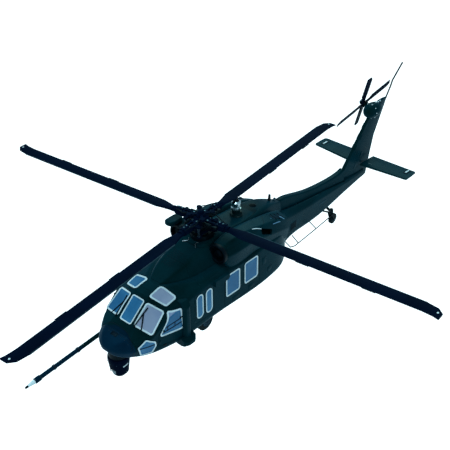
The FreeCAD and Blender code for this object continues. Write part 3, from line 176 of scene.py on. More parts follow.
def makeMaterial(name, look):
    material = bpy.data.materials.new(name)
    material.use_nodes = True
    tree = material.node_tree
    shader = tree.nodes["Principled BSDF"]
    place = tree.nodes.new("ShaderNodeTexCoord")
    grain = tree.nodes.new("ShaderNodeGroup")
    grain.node_tree = grainGroup
    grain.inputs["Scale"].default_value = look.get("scale", 60.0)
    grain.inputs["Strength"].default_value = look.get("grain", 0.12)
    tree.links.new(place.outputs["Object"], grain.inputs["Vector"])
    colour = mixColour(tree, grain.outputs["Tone"], (*look["dark"], 1.0), (*look["light"], 1.0))
    # Painted sheen: where a look gives a 'rim' colour, the base colour is mixed toward it as the surface turns
    # edge-on to the camera (LayerWeight facing). Grazing edges therefore carry a painted teal-blue highlight, and
    # 'rimShare' sets how much.
    if "rim" in look:
        edge = tree.nodes.new("ShaderNodeLayerWeight")
        edge.inputs["Blend"].default_value = 0.35
        paintedSheenShare = mathNode(tree, "MULTIPLY", edge.outputs["Facing"], look.get("rimShare", 0.8))
        colour = mixColour(tree, paintedSheenShare, colour, (*look["rim"], 1.0))
    if "nose" in look:
        split = tree.nodes.new("ShaderNodeSeparateXYZ")
        tree.links.new(place.outputs["Object"], split.inputs[0])
        across = mathNode(tree, "MULTIPLY", split.outputs["X"], split.outputs["X"])
        front = mathNode(tree, "ADD", split.outputs["Y"],
                         mathNode(tree, "MULTIPLY", across, look["nose"]["bend"]))
        mask = rangeNode(tree, front, *look["nose"]["y"], 1.0, 0.0)
        colour = mixColour(tree, mask, colour, (*look["nose"]["colour"], 1.0))
    normal = grain.outputs["Normal"]
    if look.get("panels"):
        lines = tree.nodes.new("ShaderNodeGroup")
        lines.node_tree = panelGroup
        lines.inputs["Pitch"].default_value = look["panels"][0]
        lines.inputs["Rows"].default_value = look["panels"][1]
        tree.links.new(place.outputs["Object"], lines.inputs["Vector"])
        darker = mathNode(tree, "MULTIPLY", lines.outputs["Line"], 0.75)
        colour = mixColour(tree, darker, colour, (0.0004, 0.002, 0.004, 1.0))
        paler = mathNode(tree, "MULTIPLY", lines.outputs["Rivet"], 0.35)
        colour = mixColour(tree, paler, colour, (0.012, 0.07, 0.08, 1.0))
        height = mathNode(tree, "SUBTRACT", lines.outputs["Rivet"], lines.outputs["Line"])
        bump = tree.nodes.new("ShaderNodeBump")
        bump.inputs["Strength"].default_value = 0.5
        bump.inputs["Distance"].default_value = 0.00008
        tree.links.new(height, bump.inputs["Height"])
        tree.links.new(normal, bump.inputs["Normal"])
        normal = bump.outputs["Normal"]
    if look.get("dust"):
        dust = tree.nodes.new("ShaderNodeGroup")
        dust.node_tree = dustGroup
        dust.inputs["Amount"].default_value = look["dust"]
        tree.links.new(place.outputs["Object"], dust.inputs["Vector"])
        colour = mixColour(tree, dust.outputs["Mask"], colour, (0.05, 0.09, 0.1, 1.0))
    tree.links.new(colour, shader.inputs["Base Color"])
    tree.links.new(normal, shader.inputs["Normal"])
    rough = look["rough"]
    tree.links.new(rangeNode(tree, grain.outputs["Fine"], 0.3, 0.7, rough[0], rough[1]),
                   shader.inputs["Roughness"])
    shader.inputs["Metallic"].default_value = look.get("metal", 0.0)
    shader.inputs["Specular IOR Level"].default_value = look.get("specular", 0.4)
    shader.inputs["Specular Tint"].default_value = (*look.get("tint", (0.35, 0.8, 1.0)), 1.0)
    shader.inputs["Coat Weight"].default_value = look.get("coat", 0.0)
    shader.inputs["Coat Roughness"].default_value = 0.12
    shader.inputs["IOR"].default_value = look.get("ior", 1.45)
    shader.inputs["Alpha"].default_value = look.get("alpha", 1.0)
    return material


# The 'rim' colours in these looks are painted highlight: a brighter teal-blue mixed in at grazing angles, not a
# colour of the paint.
looks = {
    "airframePaint": {"dark": (0.0008, 0.0105, 0.0095), "light": (0.0012, 0.017, 0.019),
                      "rim": (0.001, 0.052, 0.085), "rough": (0.24, 0.36),
                      "tint": (0.05, 0.6, 0.8),
                      "nose": {"y": (-0.0903, -0.0889), "bend": 20.0,
                               "colour": (0.0012, 0.016, 0.034)},
                      "panels": (0.031, 0.0143), "dust": 0.004, "specular": 0.25, "ior": 1.16},
    "nosePaint": {"dark": (0.001, 0.012, 0.027), "light": (0.0015, 0.02, 0.042),
                  "rim": (0.002, 0.042, 0.08), "rough": (0.28, 0.38), "tint": (0.06, 0.4, 1.0),
                  "specular": 0.24, "ior": 1.16, "dust": 0.004},
    "rotorBlack": {"dark": (0.0006, 0.0026, 0.009), "light": (0.001, 0.0042, 0.015),
                   "rough": (0.32, 0.45), "specular": 0.1, "ior": 1.12, "tint": (0.06, 0.35, 1.0),
                   "rim": (0.001, 0.012, 0.038), "rimShare": 0.5},
    "blackPlastic": {"dark": (0.0006, 0.0012, 0.0022), "light": (0.001, 0.003, 0.006),
                     "rough": (0.4, 0.55), "specular": 0.14, "scale": 110.0, "grain": 0.25},
    "innerPlastic": {"dark": (0.01, 0.012, 0.014), "light": (0.02, 0.023, 0.026),
                     "rough": (0.5, 0.6), "grain": 0.2},
    "brightMetal": {"dark": (0.6, 0.64, 0.68), "light": (0.85, 0.88, 0.9),
                    "rough": (0.1, 0.22), "metal": 1.0, "scale": 90.0, "grain": 0.05},
    "steelMetal": {"dark": (0.22, 0.23, 0.25), "light": (0.4, 0.42, 0.44),
                   "rough": (0.22, 0.35), "metal": 1.0, "scale": 150.0, "grain": 0.1},
    "tyreRubber": {"dark": (0.0012, 0.0014, 0.0018), "light": (0.004, 0.0045, 0.005),
                   "rough": (0.6, 0.8), "scale": 120.0, "grain": 0.5, "specular": 0.25},
    "frameWhite": {"dark": (0.72, 0.76, 0.78), "light": (0.92, 0.93, 0.94),
                   "rough": (0.35, 0.5), "scale": 70.0, "grain": 0.1},
    # Painted highlight colour for the pale-blue streaks along the exhaust tops.
    "paintedHighlightBlue": {"dark": (0.12, 0.26, 0.42), "light": (0.22, 0.4, 0.56),
                   "rough": (0.3, 0.45), "grain": 0.1},
    "gasketBlack": {"dark": (0.0005, 0.002, 0.006), "light": (0.001, 0.004, 0.011),
                    "rough": (0.45, 0.6), "grain": 0.2, "specular": 0.2},
    "markWhite": {"dark": (0.78, 0.82, 0.82), "light": (0.92, 0.94, 0.93),
                  "rough": (0.4, 0.5), "grain": 0.1},
    "seatBlue": {"dark": (0.03, 0.1, 0.16), "light": (0.07, 0.19, 0.28),
                 "rough": (0.6, 0.75), "scale": 160.0, "grain": 0.4},
    "lensGlass": {"dark": (0.004, 0.008, 0.02), "light": (0.01, 0.03, 0.06),
                  "rough": (0.04, 0.08), "coat": 1.0, "grain": 0.02, "specular": 0.8},
    "boltMetal": {"dark": (0.05, 0.08, 0.11), "light": (0.13, 0.18, 0.22),
                  "rough": (0.3, 0.4), "metal": 0.8, "scale": 150.0, "grain": 0.1},
    "hubMetal": {"dark": (0.006, 0.01, 0.018), "light": (0.02, 0.03, 0.045),
                 "rough": (0.28, 0.4), "metal": 0.6, "scale": 130.0, "grain": 0.15},
}
materials = {name: makeMaterial(name, look) for name, look in looks.items()}


def makeDrumMaterial():
    look = {"low": (0.001, 0.014, 0.016), "high": (0.8, 0.84, 0.86), "split": (0.0644, 0.0648)}
    material = bpy.data.materials.new("drumMetal")
    material.use_nodes = True
    tree = material.node_tree
    shader = tree.nodes["Principled BSDF"]
    place = tree.nodes.new("ShaderNodeTexCoord")
    split = tree.nodes.new("ShaderNodeSeparateXYZ")
    tree.links.new(place.outputs["Object"], split.inputs[0])
    grain = tree.nodes.new("ShaderNodeGroup")
    grain.node_tree = grainGroup
    grain.inputs["Scale"].default_value = 90.0
    grain.inputs["Strength"].default_value = 0.05
    tree.links.new(place.outputs["Object"], grain.inputs["Vector"])
    high = rangeNode(tree, split.outputs["Z"], *look["split"], 0.0, 1.0)
    colour = mixColour(tree, high, (*look["low"], 1.0), (*look["high"], 1.0))
    tree.links.new(colour, shader.inputs["Base Color"])
    tree.links.new(high, shader.inputs["Metallic"])
    tree.links.new(grain.outputs["Normal"], shader.inputs["Normal"])
    tree.links.new(rangeNode(tree, grain.outputs["Fine"], 0.3, 0.7, 0.12, 0.24),
                   shader.inputs["Roughness"])
    shader.inputs["Specular IOR Level"].default_value = 0.2
    return material


materials["drumMetal"] = makeDrumMaterial()


def makePaneMaterial():
    # The pale lavender colours below are a painted sky reflection, used only on panes that face upward on the port
    # side.
    look = {"mid": (0.016, 0.135, 0.3), "edge": (0.045, 0.22, 0.42), "pale": (0.33, 0.36, 0.54),
            "reflectionPaleEdge": (0.46, 0.46, 0.6), "reflectSideSwitch": (0.004, 0.008), "rise": (0.25, 0.5)}
    material = bpy.data.materials.new("windowPane")
    material.use_nodes = True
    tree = material.node_tree
    shader = tree.nodes["Principled BSDF"]
    place = tree.nodes.new("ShaderNodeTexCoord")
    split = tree.nodes.new("ShaderNodeSeparateXYZ")
    tree.links.new(place.outputs["Object"], split.inputs[0])
    shape = tree.nodes.new("ShaderNodeNewGeometry")
    facing = tree.nodes.new("ShaderNodeSeparateXYZ")
    tree.links.new(shape.outputs["Normal"], facing.inputs[0])
    grain = tree.nodes.new("ShaderNodeGroup")
    grain.node_tree = grainGroup
    grain.inputs["Scale"].default_value = 45.0
    grain.inputs["Strength"].default_value = 0.01
    tree.links.new(place.outputs["Object"], grain.inputs["Vector"])
    mid = mixColour(tree, grain.outputs["Tone"], (*look["mid"], 1.0), (*look["edge"], 1.0))
    pale = mixColour(tree, grain.outputs["Tone"], (*look["pale"], 1.0), (*look["reflectionPaleEdge"], 1.0))
    # Painted reflection: panes on the port side (x past the switch range) that face upward are mixed toward the
    # pale lavender colour. This is a painted sky reflection, not a tint of the glass.
    port = rangeNode(tree, split.outputs["X"], *look["reflectSideSwitch"], 0.0, 1.0)
    skyReflectMask = rangeNode(tree, facing.outputs["Z"], *look["rise"], 0.0, 1.0)
    colour = mixColour(tree, mathNode(tree, "MULTIPLY", port, skyReflectMask), mid, pale)
    tree.links.new(colour, shader.inputs["Base Color"])
    tree.links.new(grain.outputs["Normal"], shader.inputs["Normal"])
    shader.inputs["Roughness"].default_value = 0.12
    shader.inputs["Specular IOR Level"].default_value = 0.35
    shader.inputs["Alpha"].default_value = 0.9
    return material


materials["windowPane"] = makePaneMaterial()

slotLooks = {"hull_paint": "airframePaint", "nose_paint": "nosePaint",
             "rotor_black": "rotorBlack", "black_plastic": "blackPlastic",
             "inner_plastic": "innerPlastic", "pane": "windowPane", "silver": "brightMetal",
             "steel": "steelMetal", "tyre": "tyreRubber"}
nodeLooks = {"rotor_hub": "rotorBlack", "hub_absorber": "rotorBlack", "mast": "hubMetal",
             "swashplate": "rotorBlack", "turret_yoke": "rotorBlack", "main_axles": "hubMetal",
             "hub_bolts": "boltMetal", "pitch_links": "hubMetal", "jammer_drum": "drumMetal"}
for part in frame["record"]["subparts"]:
    node = nodes[part["node"]]
    look = nodeLooks.get(part["node"], slotLooks[part["material_slot"]])
    node.data.materials.clear()
    node.data.materials.append(materials[look])
print("materials:", len(materials))


def finishPiece(name, build, look, body, smooth=32.0):
    bmesh.ops.remove_doubles(build, verts=build.verts, dist=0.0005)
    bmesh.ops.recalc_face_normals(build, faces=build.faces)
    bmesh.ops.scale(build, vec=(milli, milli, milli), verts=build.verts)
    mesh = bpy.data.meshes.new(name)
    build.to_mesh(mesh)
    build.free()
    mesh.shade_smooth()
    mesh.set_sharp_from_angle(angle=math.radians(smooth))
    mesh.materials.append(materials[look])
    piece = bpy.data.objects.new(name, mesh)
    scene.collection.objects.link(piece)
    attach(piece, body)
    return piece


def pieceName(*words):
    parts = "_".join(words).split("_")
    return parts[0] + "".join(part.capitalize() for part in parts[1:])


def skinHit(names, point, direction):
    best = None
    for name in names:
        hit, place, normal, index = nodes[name].ray_cast(
            Vector(point) * milli, Vector(direction).normalized(), distance=0.4)
        if hit:
            place = place / milli
            far = (place - Vector(point)).length
            if best is None or far < best[0]:
                best = (far, place, normal.normalized())
    if best is None:
        for name in names:
            near = nodes[name].closest_point_on_mesh(Vector(point) * milli)
            far = (near[1] / milli - Vector(point)).length
            if best is None or far < best[0]:
                best = (far, near[1] / milli, near[2].normalized())
    return best[1], best[2]


def crossAxes(normal, hint):
    normal = Vector(normal).normalized()
    hint = Vector(hint)
    along = (hint - normal * hint.dot(normal)).normalized()
    return along, normal.cross(along), normal


def addBox(build, centre, axes, size, bevel):
    made = bmesh.ops.create_cube(build, size=2.0)
    turn = Matrix((axes[0], axes[1], axes[2])).transposed().to_4x4()
    scale = Matrix.Diagonal((size[0], size[1], size[2], 1.0))
    bmesh.ops.transform(build, matrix=Matrix.Translation(centre) @ turn @ scale,
                        verts=made["verts"])
    edges = list({edge for vert in made["verts"] for edge in vert.link_edges})
    bmesh.ops.bevel(build, geom=edges, offset=bevel, offset_type="OFFSET", affect="EDGES",
                    segments=2, profile=0.5, material=-1)


def addSpin(build, profile, centre, axis, steps=32):
    across, other, axis = crossAxes(axis, (0.13, 0.31, 0.94))
    centre = Vector(centre)
    verts = [build.verts.new(centre + axis * along + across * radius)
             for along, radius in profile]
    edges = [build.edges.new(pair) for pair in zip(verts, verts[1:])]
    bmesh.ops.spin(build, geom=verts + edges, cent=centre, axis=axis, angle=2 * math.pi,
                   steps=steps, use_merge=True)


def addTube(build, points, radius, steps=10):
    points = [Vector(p) for p in points]
    rings = []
    side = None
    for i, point in enumerate(points):
        before = points[max(i - 1, 0)]
        after = points[min(i + 1, len(points) - 1)]
        along = (after - before).normalized()
        if side is None:
            side = along.orthogonal().normalized()
        side = (side - along * side.dot(along)).normalized()
        other = along.cross(side)
        rings.append([build.verts.new(point + side * (radius * math.cos(2 * math.pi * k / steps))
                                      + other * (radius * math.sin(2 * math.pi * k / steps)))
                      for k in range(steps)])
    for first, second in zip(rings, rings[1:]):
        for k in range(steps):
            j = (k + 1) % steps
            build.faces.new((first[k], first[j], second[j], second[k]))
    build.faces.new(list(reversed(rings[0])))
    build.faces.new(rings[-1])


def curvePoints(points, steps=6):
    points = [Vector(p) for p in points]
    result = []
    for i in range(len(points) - 1):
        p0 = points[max(i - 1, 0)]
        p1, p2 = points[i], points[i + 1]
        p3 = points[min(i + 2, len(points) - 1)]
        for k in range(steps):
            t = k / steps
            result.append(0.5 * ((2 * p1) + (p2 - p0) * t + (2 * p0 - 5 * p1 + 4 * p2 - p3) * t * t
                                 + (3 * p1 - p0 - 3 * p2 + p3) * t ** 3))
    result.append(points[-1])
    return result


def addRibbon(build, path, width, low, high):
    rows = []
    for i, (place, normal) in enumerate(path):
        before, after = path[max(i - 1, 0)][0], path[min(i + 1, len(path) - 1)][0]
        side = (after - before).cross(normal).normalized()
        half = width / 2
        rows.append([build.verts.new(place + side * a + normal * b) for a, b in (
            (-half, low), (-half * 0.86, high), (half * 0.86, high), (half, low))])
    for first, second in zip(rows, rows[1:]):
        for k in range(4):
            j = (k + 1) % 4
            build.faces.new((first[k], first[j], second[j], second[k]))
    build.faces.new(rows[0])
    build.faces.new(list(reversed(rows[-1])))


def skinPath(names, points, direction, steps=4):
    path = []
    points = [Vector(p) for p in points]
    for i, (first, second) in enumerate(zip(points, points[1:])):
        for k in range(steps + (1 if i == len(points) - 2 else 0)):
            path.append(skinHit(names, first.lerp(second, k / steps), direction))
    return path


def slopePath(points, side, lift):
    path = []
    for x, y, z in points:
        start = (side * (x + slopeReach), y, z + slopeReach)
        place, normal = skinHit(skinNames, start, (-side, 0, -1))
        path.append(place + normal * lift)
    return curvePoints(path, 5)


slopeReach = 20.0
hullNames = ["hull_port", "hull_starboard"]
skinNames = hullNames + ["nose_cap", "roof_cowl", "boom_port", "boom_starboard",
                         "engine_nacelle_port", "engine_nacelle_starboard", "exhaust_port",
                         "exhaust_starboard", "spine_cover", "tail_gearbox"]
bothSides = (1, -1)
level = (Vector((1, 0, 0)), Vector((0, 1, 0)), Vector((0, 0, 1)))


def paneRims(name, guess):
    work = bmesh.new()
    work.from_mesh(nodes[name].data)
    bmesh.ops.remove_doubles(work, verts=work.verts, dist=0.0000005)
    bmesh.ops.scale(work, vec=(1 / milli, 1 / milli, 1 / milli), verts=work.verts)
    work.normal_update()
    rims = []
    chosen = set()
    for face in work.faces:
        side = 1.0 if face.calc_center_median().x > 0 else -1.0
        aim = Vector((guess[0] * side, guess[1], guess[2])).normalized()
        if face.normal.dot(aim) > 0.55:
            chosen.add(face)
    links = {}
    normals = {}
    for face in chosen:
        for vert in face.verts:
            normals.setdefault(vert, Vector((0, 0, 0)))
            normals[vert] += face.normal * face.calc_area()
        for edge in face.edges:
            if sum(1 for other in edge.link_faces if other in chosen) == 1:
                a, b = edge.verts
                links.setdefault(a, []).append(b)
                links.setdefault(b, []).append(a)
    left = set(links)
    while left:
        first = left.pop()
        chain = [first]
        step = links[first][0]
        while step is not first:
            chain.append(step)
            left.discard(step)
            options = [v for v in links[step] if v is not chain[-2]]
            step = options[0]
        thinned = []
        for vert in chain:
            if not thinned or (vert.co - thinned[-1].co).length > 0.02:
                thinned.append(vert)
        middle = sum((v.co for v in thinned), Vector((0, 0, 0))) / len(thinned)
        rim = []
        for i, vert in enumerate(thinned):
            after = thinned[(i + 1) % len(thinned)].co
            along = ((after - vert.co).normalized()
                     + (vert.co - thinned[i - 1].co).normalized()).normalized()
            normal = normals[vert].normalized()
            out = along.cross(normal).normalized()
            if out.dot(vert.co - middle) < 0:
                out = -out
            rim.append((vert.co.copy(), out, normal))
        rims.append(rim)
    work.free()
    return rims


def addRim(build, rim, section):
    rows = [[build.verts.new(place + out * a + normal * b) for a, b in section]
            for place, out, normal in rim]
    for i, row in enumerate(rows):
        after = rows[(i + 1) % len(rows)]
        for k in range(len(section)):
            j = (k + 1) % len(section)
            build.faces.new((row[k], row[j], after[j], after[k]))


windowLooks = {
    "windshield_centre": {"aim": (0.0, -0.65, 0.75), "frame": (-0.3, 0.8)},
    "side_windshields": {"aim": (0.3, -0.6, 0.75), "frame": (-0.4, 1.0)},
    "eyebrow_windows": {"aim": (0.15, -0.1, 1.0), "frame": (-0.35, 1.15)},
    "door_windows": {"aim": (1.0, -0.2, 0.25), "frame": (-0.45, 1.0)},
    "chin_windows": {"aim": (0.9, -0.5, 0.0), "frame": (-0.5, 0.7)},
    "gunner_windows": {"aim": (1.0, 0.0, 0.15), "frame": (-0.6, 0.6)},
    "cabin_windows": {"aim": (1.0, 0.0, 0.15), "frame": (-0.7, 0.65)},
}
for name, values in windowLooks.items():
    inner, outer = values["frame"]
    frames = bmesh.new()
    gaskets = bmesh.new()
    for rim in paneRims(name, values["aim"]):
        addRim(frames, rim, [(inner, -0.1), (inner + 0.08, 0.26), (inner + 0.25, 0.34),
                             (outer - 0.2, 0.34), (outer, 0.22), (outer, -0.3)])
        addRim(gaskets, rim, [(outer - 0.02, -0.3), (outer - 0.02, 0.2), (outer + 0.45, 0.16),
                              (outer + 0.62, -0.35)])
    finishPiece(pieceName(name, "frames"), frames, "frameWhite", "airframe")
    finishPiece(pieceName(name, "gaskets"), gaskets, "gasketBlack", "airframe")
print("window frames")


bars = {"door": [[(40, -72.6, 18.6), (40, -53.6, 19.6)], [(40, -70.0, 22.4), (40, -54.0, 23.6)]],
        "chin": [[(40, -91.2, 11.6), (40, -78.9, 10.6)]], "width": 0.75, "high": 0.3,
        "posts": [(-67.6, 19.0, 22.9), (-60.6, 19.4, 23.4)]}
for name, panes in (("door", ["door_windows"]), ("chin", ["chin_windows"])):
    build = bmesh.new()
    for first, second in bars[name]:
        for side in bothSides:
            points = [(side * x, y, z) for x, y, z in (first, second)]
            path = skinPath(panes, points, (-side, 0, 0), 8)
            addRibbon(build, path, bars["width"], -0.1, bars["high"])
    if name == "door":
        for y, low, high in bars["posts"]:
            for side in bothSides:
                path = skinPath(panes, [(side * 40, y, low), (side * 40, y, high)],
                                (-side, 0, 0), 3)
                addRibbon(build, path, 0.55, -0.1, bars["high"])
    finishPiece(name + "WindowBars", build, "gasketBlack", "airframe")

seats = {"places": [(11.0, -60.0), (-11.0, -60.0), (15.0, -28.5), (-15.0, -28.5)],
         "floor": 5.0, "half": 5.2, "cushion": 1.6, "back": 10.5, "lean": 0.22}
build = bmesh.new()
frames = bmesh.new()
for x, y in seats["places"]:
    addBox(build, (x, y, seats["floor"] + 6.0), level, (seats["half"], 5.4, seats["cushion"]), 1.0)
    lean = Vector((0, math.sin(seats["lean"]), math.cos(seats["lean"])))
    tilt = (Vector((1, 0, 0)), lean.cross(Vector((1, 0, 0))) * -1.0, lean)
    addBox(build, Vector((x, y + 6.0, seats["floor"] + 7.0)) + lean * seats["back"] * 0.8, tilt,
           (seats["half"] - 0.4, 1.5, seats["back"] * 0.8), 1.0)
    addBox(build, Vector((x, y + 6.2, seats["floor"] + 8.6)) + lean * seats["back"] * 1.7, tilt,
           (2.6, 1.2, 1.9), 0.8)
    addBox(frames, (x, y + 0.5, seats["floor"] + 1.6), level, (3.6, 4.0, 2.6), 0.4)
finishPiece("seatCushions", build, "seatBlue", "airframe")
finishPiece("seatBases", frames, "innerPlastic", "airframe")

panel = {"y": -80.5, "half": 13.0, "low": 12.0, "high": 19.5}
build = bmesh.new()
addBox(build, (0, panel["y"], (panel["low"] + panel["high"]) / 2),
       level, (panel["half"], 1.6, (panel["high"] - panel["low"]) / 2), 0.8)
addBox(build, (0, panel["y"] + 6.0, 9.0), level, (2.6, 6.0, 2.6), 0.8)
finishPiece("instrumentPanel", build, "blackPlastic", "airframe")

handles = {"at": [(-53.6, 24.6)], "long": 2.0, "steps": [(-70.0, 5.2), (-57.5, 4.6)]}
build = bmesh.new()
for y, z in handles["at"]:
    for side in bothSides:
        place, normal = skinHit(hullNames, (side * 60, y, z), (-side, 0, 0))
        axes = crossAxes(normal, (0, 1, 0))
        addBox(build, place + normal * 0.25, axes, (handles["long"], 0.55, 0.3), 0.2)
        addBox(build, place + normal * 0.5 + axes[0] * 0.6, axes, (1.3, 0.3, 0.3), 0.15)
for y, z in handles["steps"]:
    for side in bothSides:
        place, normal = skinHit(hullNames, (side * 60, y, z), (-side, 0, 0))
        axes = crossAxes(normal, (0, 1, 0))
        addBox(build, place, axes, (1.5, 0.9, 0.35), 0.25)
finishPiece("doorHandles", build, "blackPlastic", "airframe")

hinges = {"z": [10.5, 17.0, 27.0], "y": -46.0, "size": (0.8, 1.5, 0.35)}
build = bmesh.new()
for z in hinges["z"]:
    for side in bothSides:
        for y in (-76.4 + 0.2 * z, hinges["y"] + 6.5):
            place, normal = skinHit(hullNames, (side * 60, y, z), (-side, 0, 0))
            axes = crossAxes(normal, (0, 1, 0))
            addBox(build, place, axes, hinges["size"], 0.18)
finishPiece("doorHinges", build, "airframePaint", "airframe")

covers = {"plates": [(44.5, 24.0, 2.6, 3.4), (52.0, 12.0, 3.0, 2.2),
                     (9.0, 7.0, 4.5, 1.8), (28.0, 7.5, 3.6, 2.2), (62.0, 26.0, 2.6, 2.6)],
          "thick": 0.14}
build = bmesh.new()
for y, z, halfLong, halfHigh in covers["plates"]:
    for side in bothSides:
        place, normal = skinHit(hullNames, (side * 60, y, z), (-side, 0, 0))
        axes = crossAxes(normal, (0, 1, 0))
        addBox(build, place, axes, (halfLong, halfHigh, covers["thick"]), 0.1)
        for along, up in ((1, 1), (1, -1), (-1, 1), (-1, -1)):
            centre = (place + axes[0] * (along * (halfLong - 0.6))
                      + axes[1] * (up * (halfHigh - 0.6)))
            addSpin(build, [(0.05, 0.32), (covers["thick"] + 0.16, 0.26),
                            (covers["thick"] + 0.2, 0.0)], centre, normal, 10)
finishPiece("accessCovers", build, "airframePaint", "airframe")
print("door details")


grille = {"x": (-7.0, 3.6, 1.3), "y": (-37.5, -20.5, 1.75), "radius": 0.42}
build = bmesh.new()
rows = int((grille["y"][1] - grille["y"][0]) / grille["y"][2])
columns = int((grille["x"][1] - grille["x"][0]) / grille["x"][2])
for i in range(rows):
    for k in range(columns):
        shift = 0.5 * grille["x"][2] * (i % 2)
        x = grille["x"][0] + k * grille["x"][2] + shift
        y = grille["y"][0] + i * grille["y"][2] + 0.35 * math.sin(1.7 * k + i)
        place, normal = skinHit(["roof_cowl"], (x, y, 90), (0, 0, -1))
        addSpin(build, [(-0.2, grille["radius"]), (0.1, grille["radius"]), (0.16, 0.25),
                        (0.16, 0.0)], place, normal, 8)
finishPiece("cowlGrille", build, "gasketBlack", "airframe")

holds = {"points": [(-7.2, -14.2), (-5.6, -12.6), (-4.4, -11.6), (-4.0, -9.6), (-5.2, -8.6)],
         "lift": 0.55, "radius": 0.3}
build = bmesh.new()
for mirror in (1, -1):
    path = []
    for x, y in holds["points"]:
        place, normal = skinHit(["roof_cowl"], (x * mirror, y, 90), (0, 0, -1))
        path.append(place + normal * holds["lift"])
    addTube(build, curvePoints(path, 5), holds["radius"], 8)
finishPiece("cowlHandholds", build, "steelMetal", "airframe")

louvres = {"y": [64.4, 69.0, 73.6], "x": (17.6, 24.0), "radius": 0.32}
lips = bmesh.new()
slats = bmesh.new()
for side in bothSides:
    for y in louvres["y"]:
        path = []
        for k in range(7):
            x = louvres["x"][0] + (louvres["x"][1] - louvres["x"][0]) * k / 6
            place, normal = skinHit(skinNames, (side * x, y - 0.5, 90), (0, 0, -1))
            path.append(place + normal * 0.12)
        addTube(lips, path, louvres["radius"], 8)
        middle = path[3]
        axes = crossAxes((0, -0.55, 0.83), (1, 0, 0))
        addBox(slats, middle + Vector((0, 1.2, -1.0)), axes, (3.3, 1.2, 0.2), 0.1)
# Painted highlight: pale-blue tubes laid along the top of each exhaust where light catches it. They stand in for
# highlights, not for real strakes or ribs.
highlightStreaks = {"runs": [[(22.2, 61.1, 54.5), (21.9, 66.4, 52.6), (21.7, 71.3, 50.7),
                     (24.5, 76.0, 47.7)],
                    [(26.9, 58.0, 52.6), (26.3, 63.5, 51.0), (26.0, 68.6, 49.4)]]}
glints = bmesh.new()
for run in highlightStreaks["runs"]:
    for side in bothSides:
        addTube(glints, slopePath(run, side, 0.1), louvres["radius"], 8)
finishPiece("exhaustHighlightStreaks", glints, "paintedHighlightBlue", "airframe")
finishPiece("louvreLips", lips, "hubMetal", "airframe")
finishPiece("louvreSlats", slats, "gasketBlack", "airframe")

# Painted highlight: a white tube laid along the upper edge of each scoop, standing in for the bright line of light
# along that edge.
scoops = {"points": [(26.0, 31.9, 60.1), (26.6, 37.0, 58.5), (27.4, 41.9, 56.1)], "radius": 0.34}
build = bmesh.new()
for side in bothSides:
    addTube(build, slopePath(scoops["points"], side, 0.15), scoops["radius"], 8)
finishPiece("scoopHighlightLips", build, "frameWhite", "airframe")

vents = {"y": (104.0, 113.0), "z": (15.6, 21.8), "slats": 5}
build = bmesh.new()
for side in bothSides:
    for k in range(vents["slats"]):
        z = vents["z"][0] + (vents["z"][1] - vents["z"][0]) * k / (vents["slats"] - 1)
        path = skinPath(["boom_port", "boom_starboard"],
                        [(side * 40, vents["y"][0], z), (side * 40, vents["y"][1], z)],
                        (-side, 0, 0), 5)
        addRibbon(build, path, 0.6, -0.15, 0.35)
finishPiece("boomVents", build, "gasketBlack", "airframe")

strips = {"runs": [((40, 58.0, 27.5), (40, 70.0, 27.0)), ((40, 150.0, 19.8), (40, 163.0, 19.4))],
          "width": 1.0}
build = bmesh.new()
for first, second in strips["runs"]:
    for side in bothSides:
        points = [(side * x, y, z) for x, y, z in (first, second)]
        path = skinPath(skinNames, points, (-side, 0, 0), 8)
        addRibbon(build, path, strips["width"], -0.1, 0.22)
finishPiece("lightStrips", build, "hubMetal", "airframe")
print("roof details")


beacons = {"spots": [(0, 93.0, 90, -1), (0, 30.0, -60, 1)],
           "profile": [(-0.3, 1.6), (0.5, 1.6), (0.7, 1.3), (1.9, 1.15), (2.5, 0.6), (2.6, 0.0)]}
build = bmesh.new()
for x, y, z, way in beacons["spots"]:
    place, normal = skinHit(skinNames, (x, y, z), (0, 0, way))
    addSpin(build, beacons["profile"], place, normal, 24)
finishPiece("beacons", build, "lensGlass", "airframe")


# Painted shade: a black plate set into the nose recess so that the recess reads dark.
recess = {"centre": (-0.8, -96.2, 16.5), "half": (2.9, 1.7)}
build = bmesh.new()
place, normal = skinHit(["nose_cap"], (recess["centre"][0], recess["centre"][1], 60), (0, 0, -1))
addBox(build, place, crossAxes(normal, (1, 0, 0)), (recess["half"][0], recess["half"][1], 0.32),
       0.15)
finishPiece("noseRecessShadePlate", build, "gasketBlack", "airframe")

build = bmesh.new()
noseSeam = {"y": -95.0, "turns": 44, "width": 0.45, "centre": 12.0}
path = []
for k in range(noseSeam["turns"] + 1):
    angle = math.radians(-115 + 230 * k / noseSeam["turns"])
    out = Vector((math.sin(angle), 0, math.cos(angle)))
    start = Vector((0, noseSeam["y"], noseSeam["centre"])) + out * 60
    path.append(skinHit(["nose_cap"], start, -out))
addRibbon(build, path, noseSeam["width"], -0.08, 0.1)
finishPiece("noseSeam", build, "gasketBlack", "airframe")

outline = {"points": [(-16.2, -92.5, 16.2), (-10.3, -89.9, 19.6), (-5.0, -89.6, 20.0),
                      (0.7, -89.6, 20.0), (6.4, -90.2, 19.6), (11.8, -92.0, 18.0),
                      (16.2, -94.5, 14.2), (17.4, -96.8, 10.6)],
           "centre": (0, -84.0, 8.0), "width": 0.5}
build = bmesh.new()
path = []
for point in curvePoints(outline["points"], 4):
    out = (point - Vector(outline["centre"])).normalized()
    path.append(skinHit(hullNames + ["nose_cap"], point + out * 30, -out))
addRibbon(build, path, outline["width"], -0.1, 0.12)
finishPiece("noseOutline", build, "gasketBlack", "airframe")

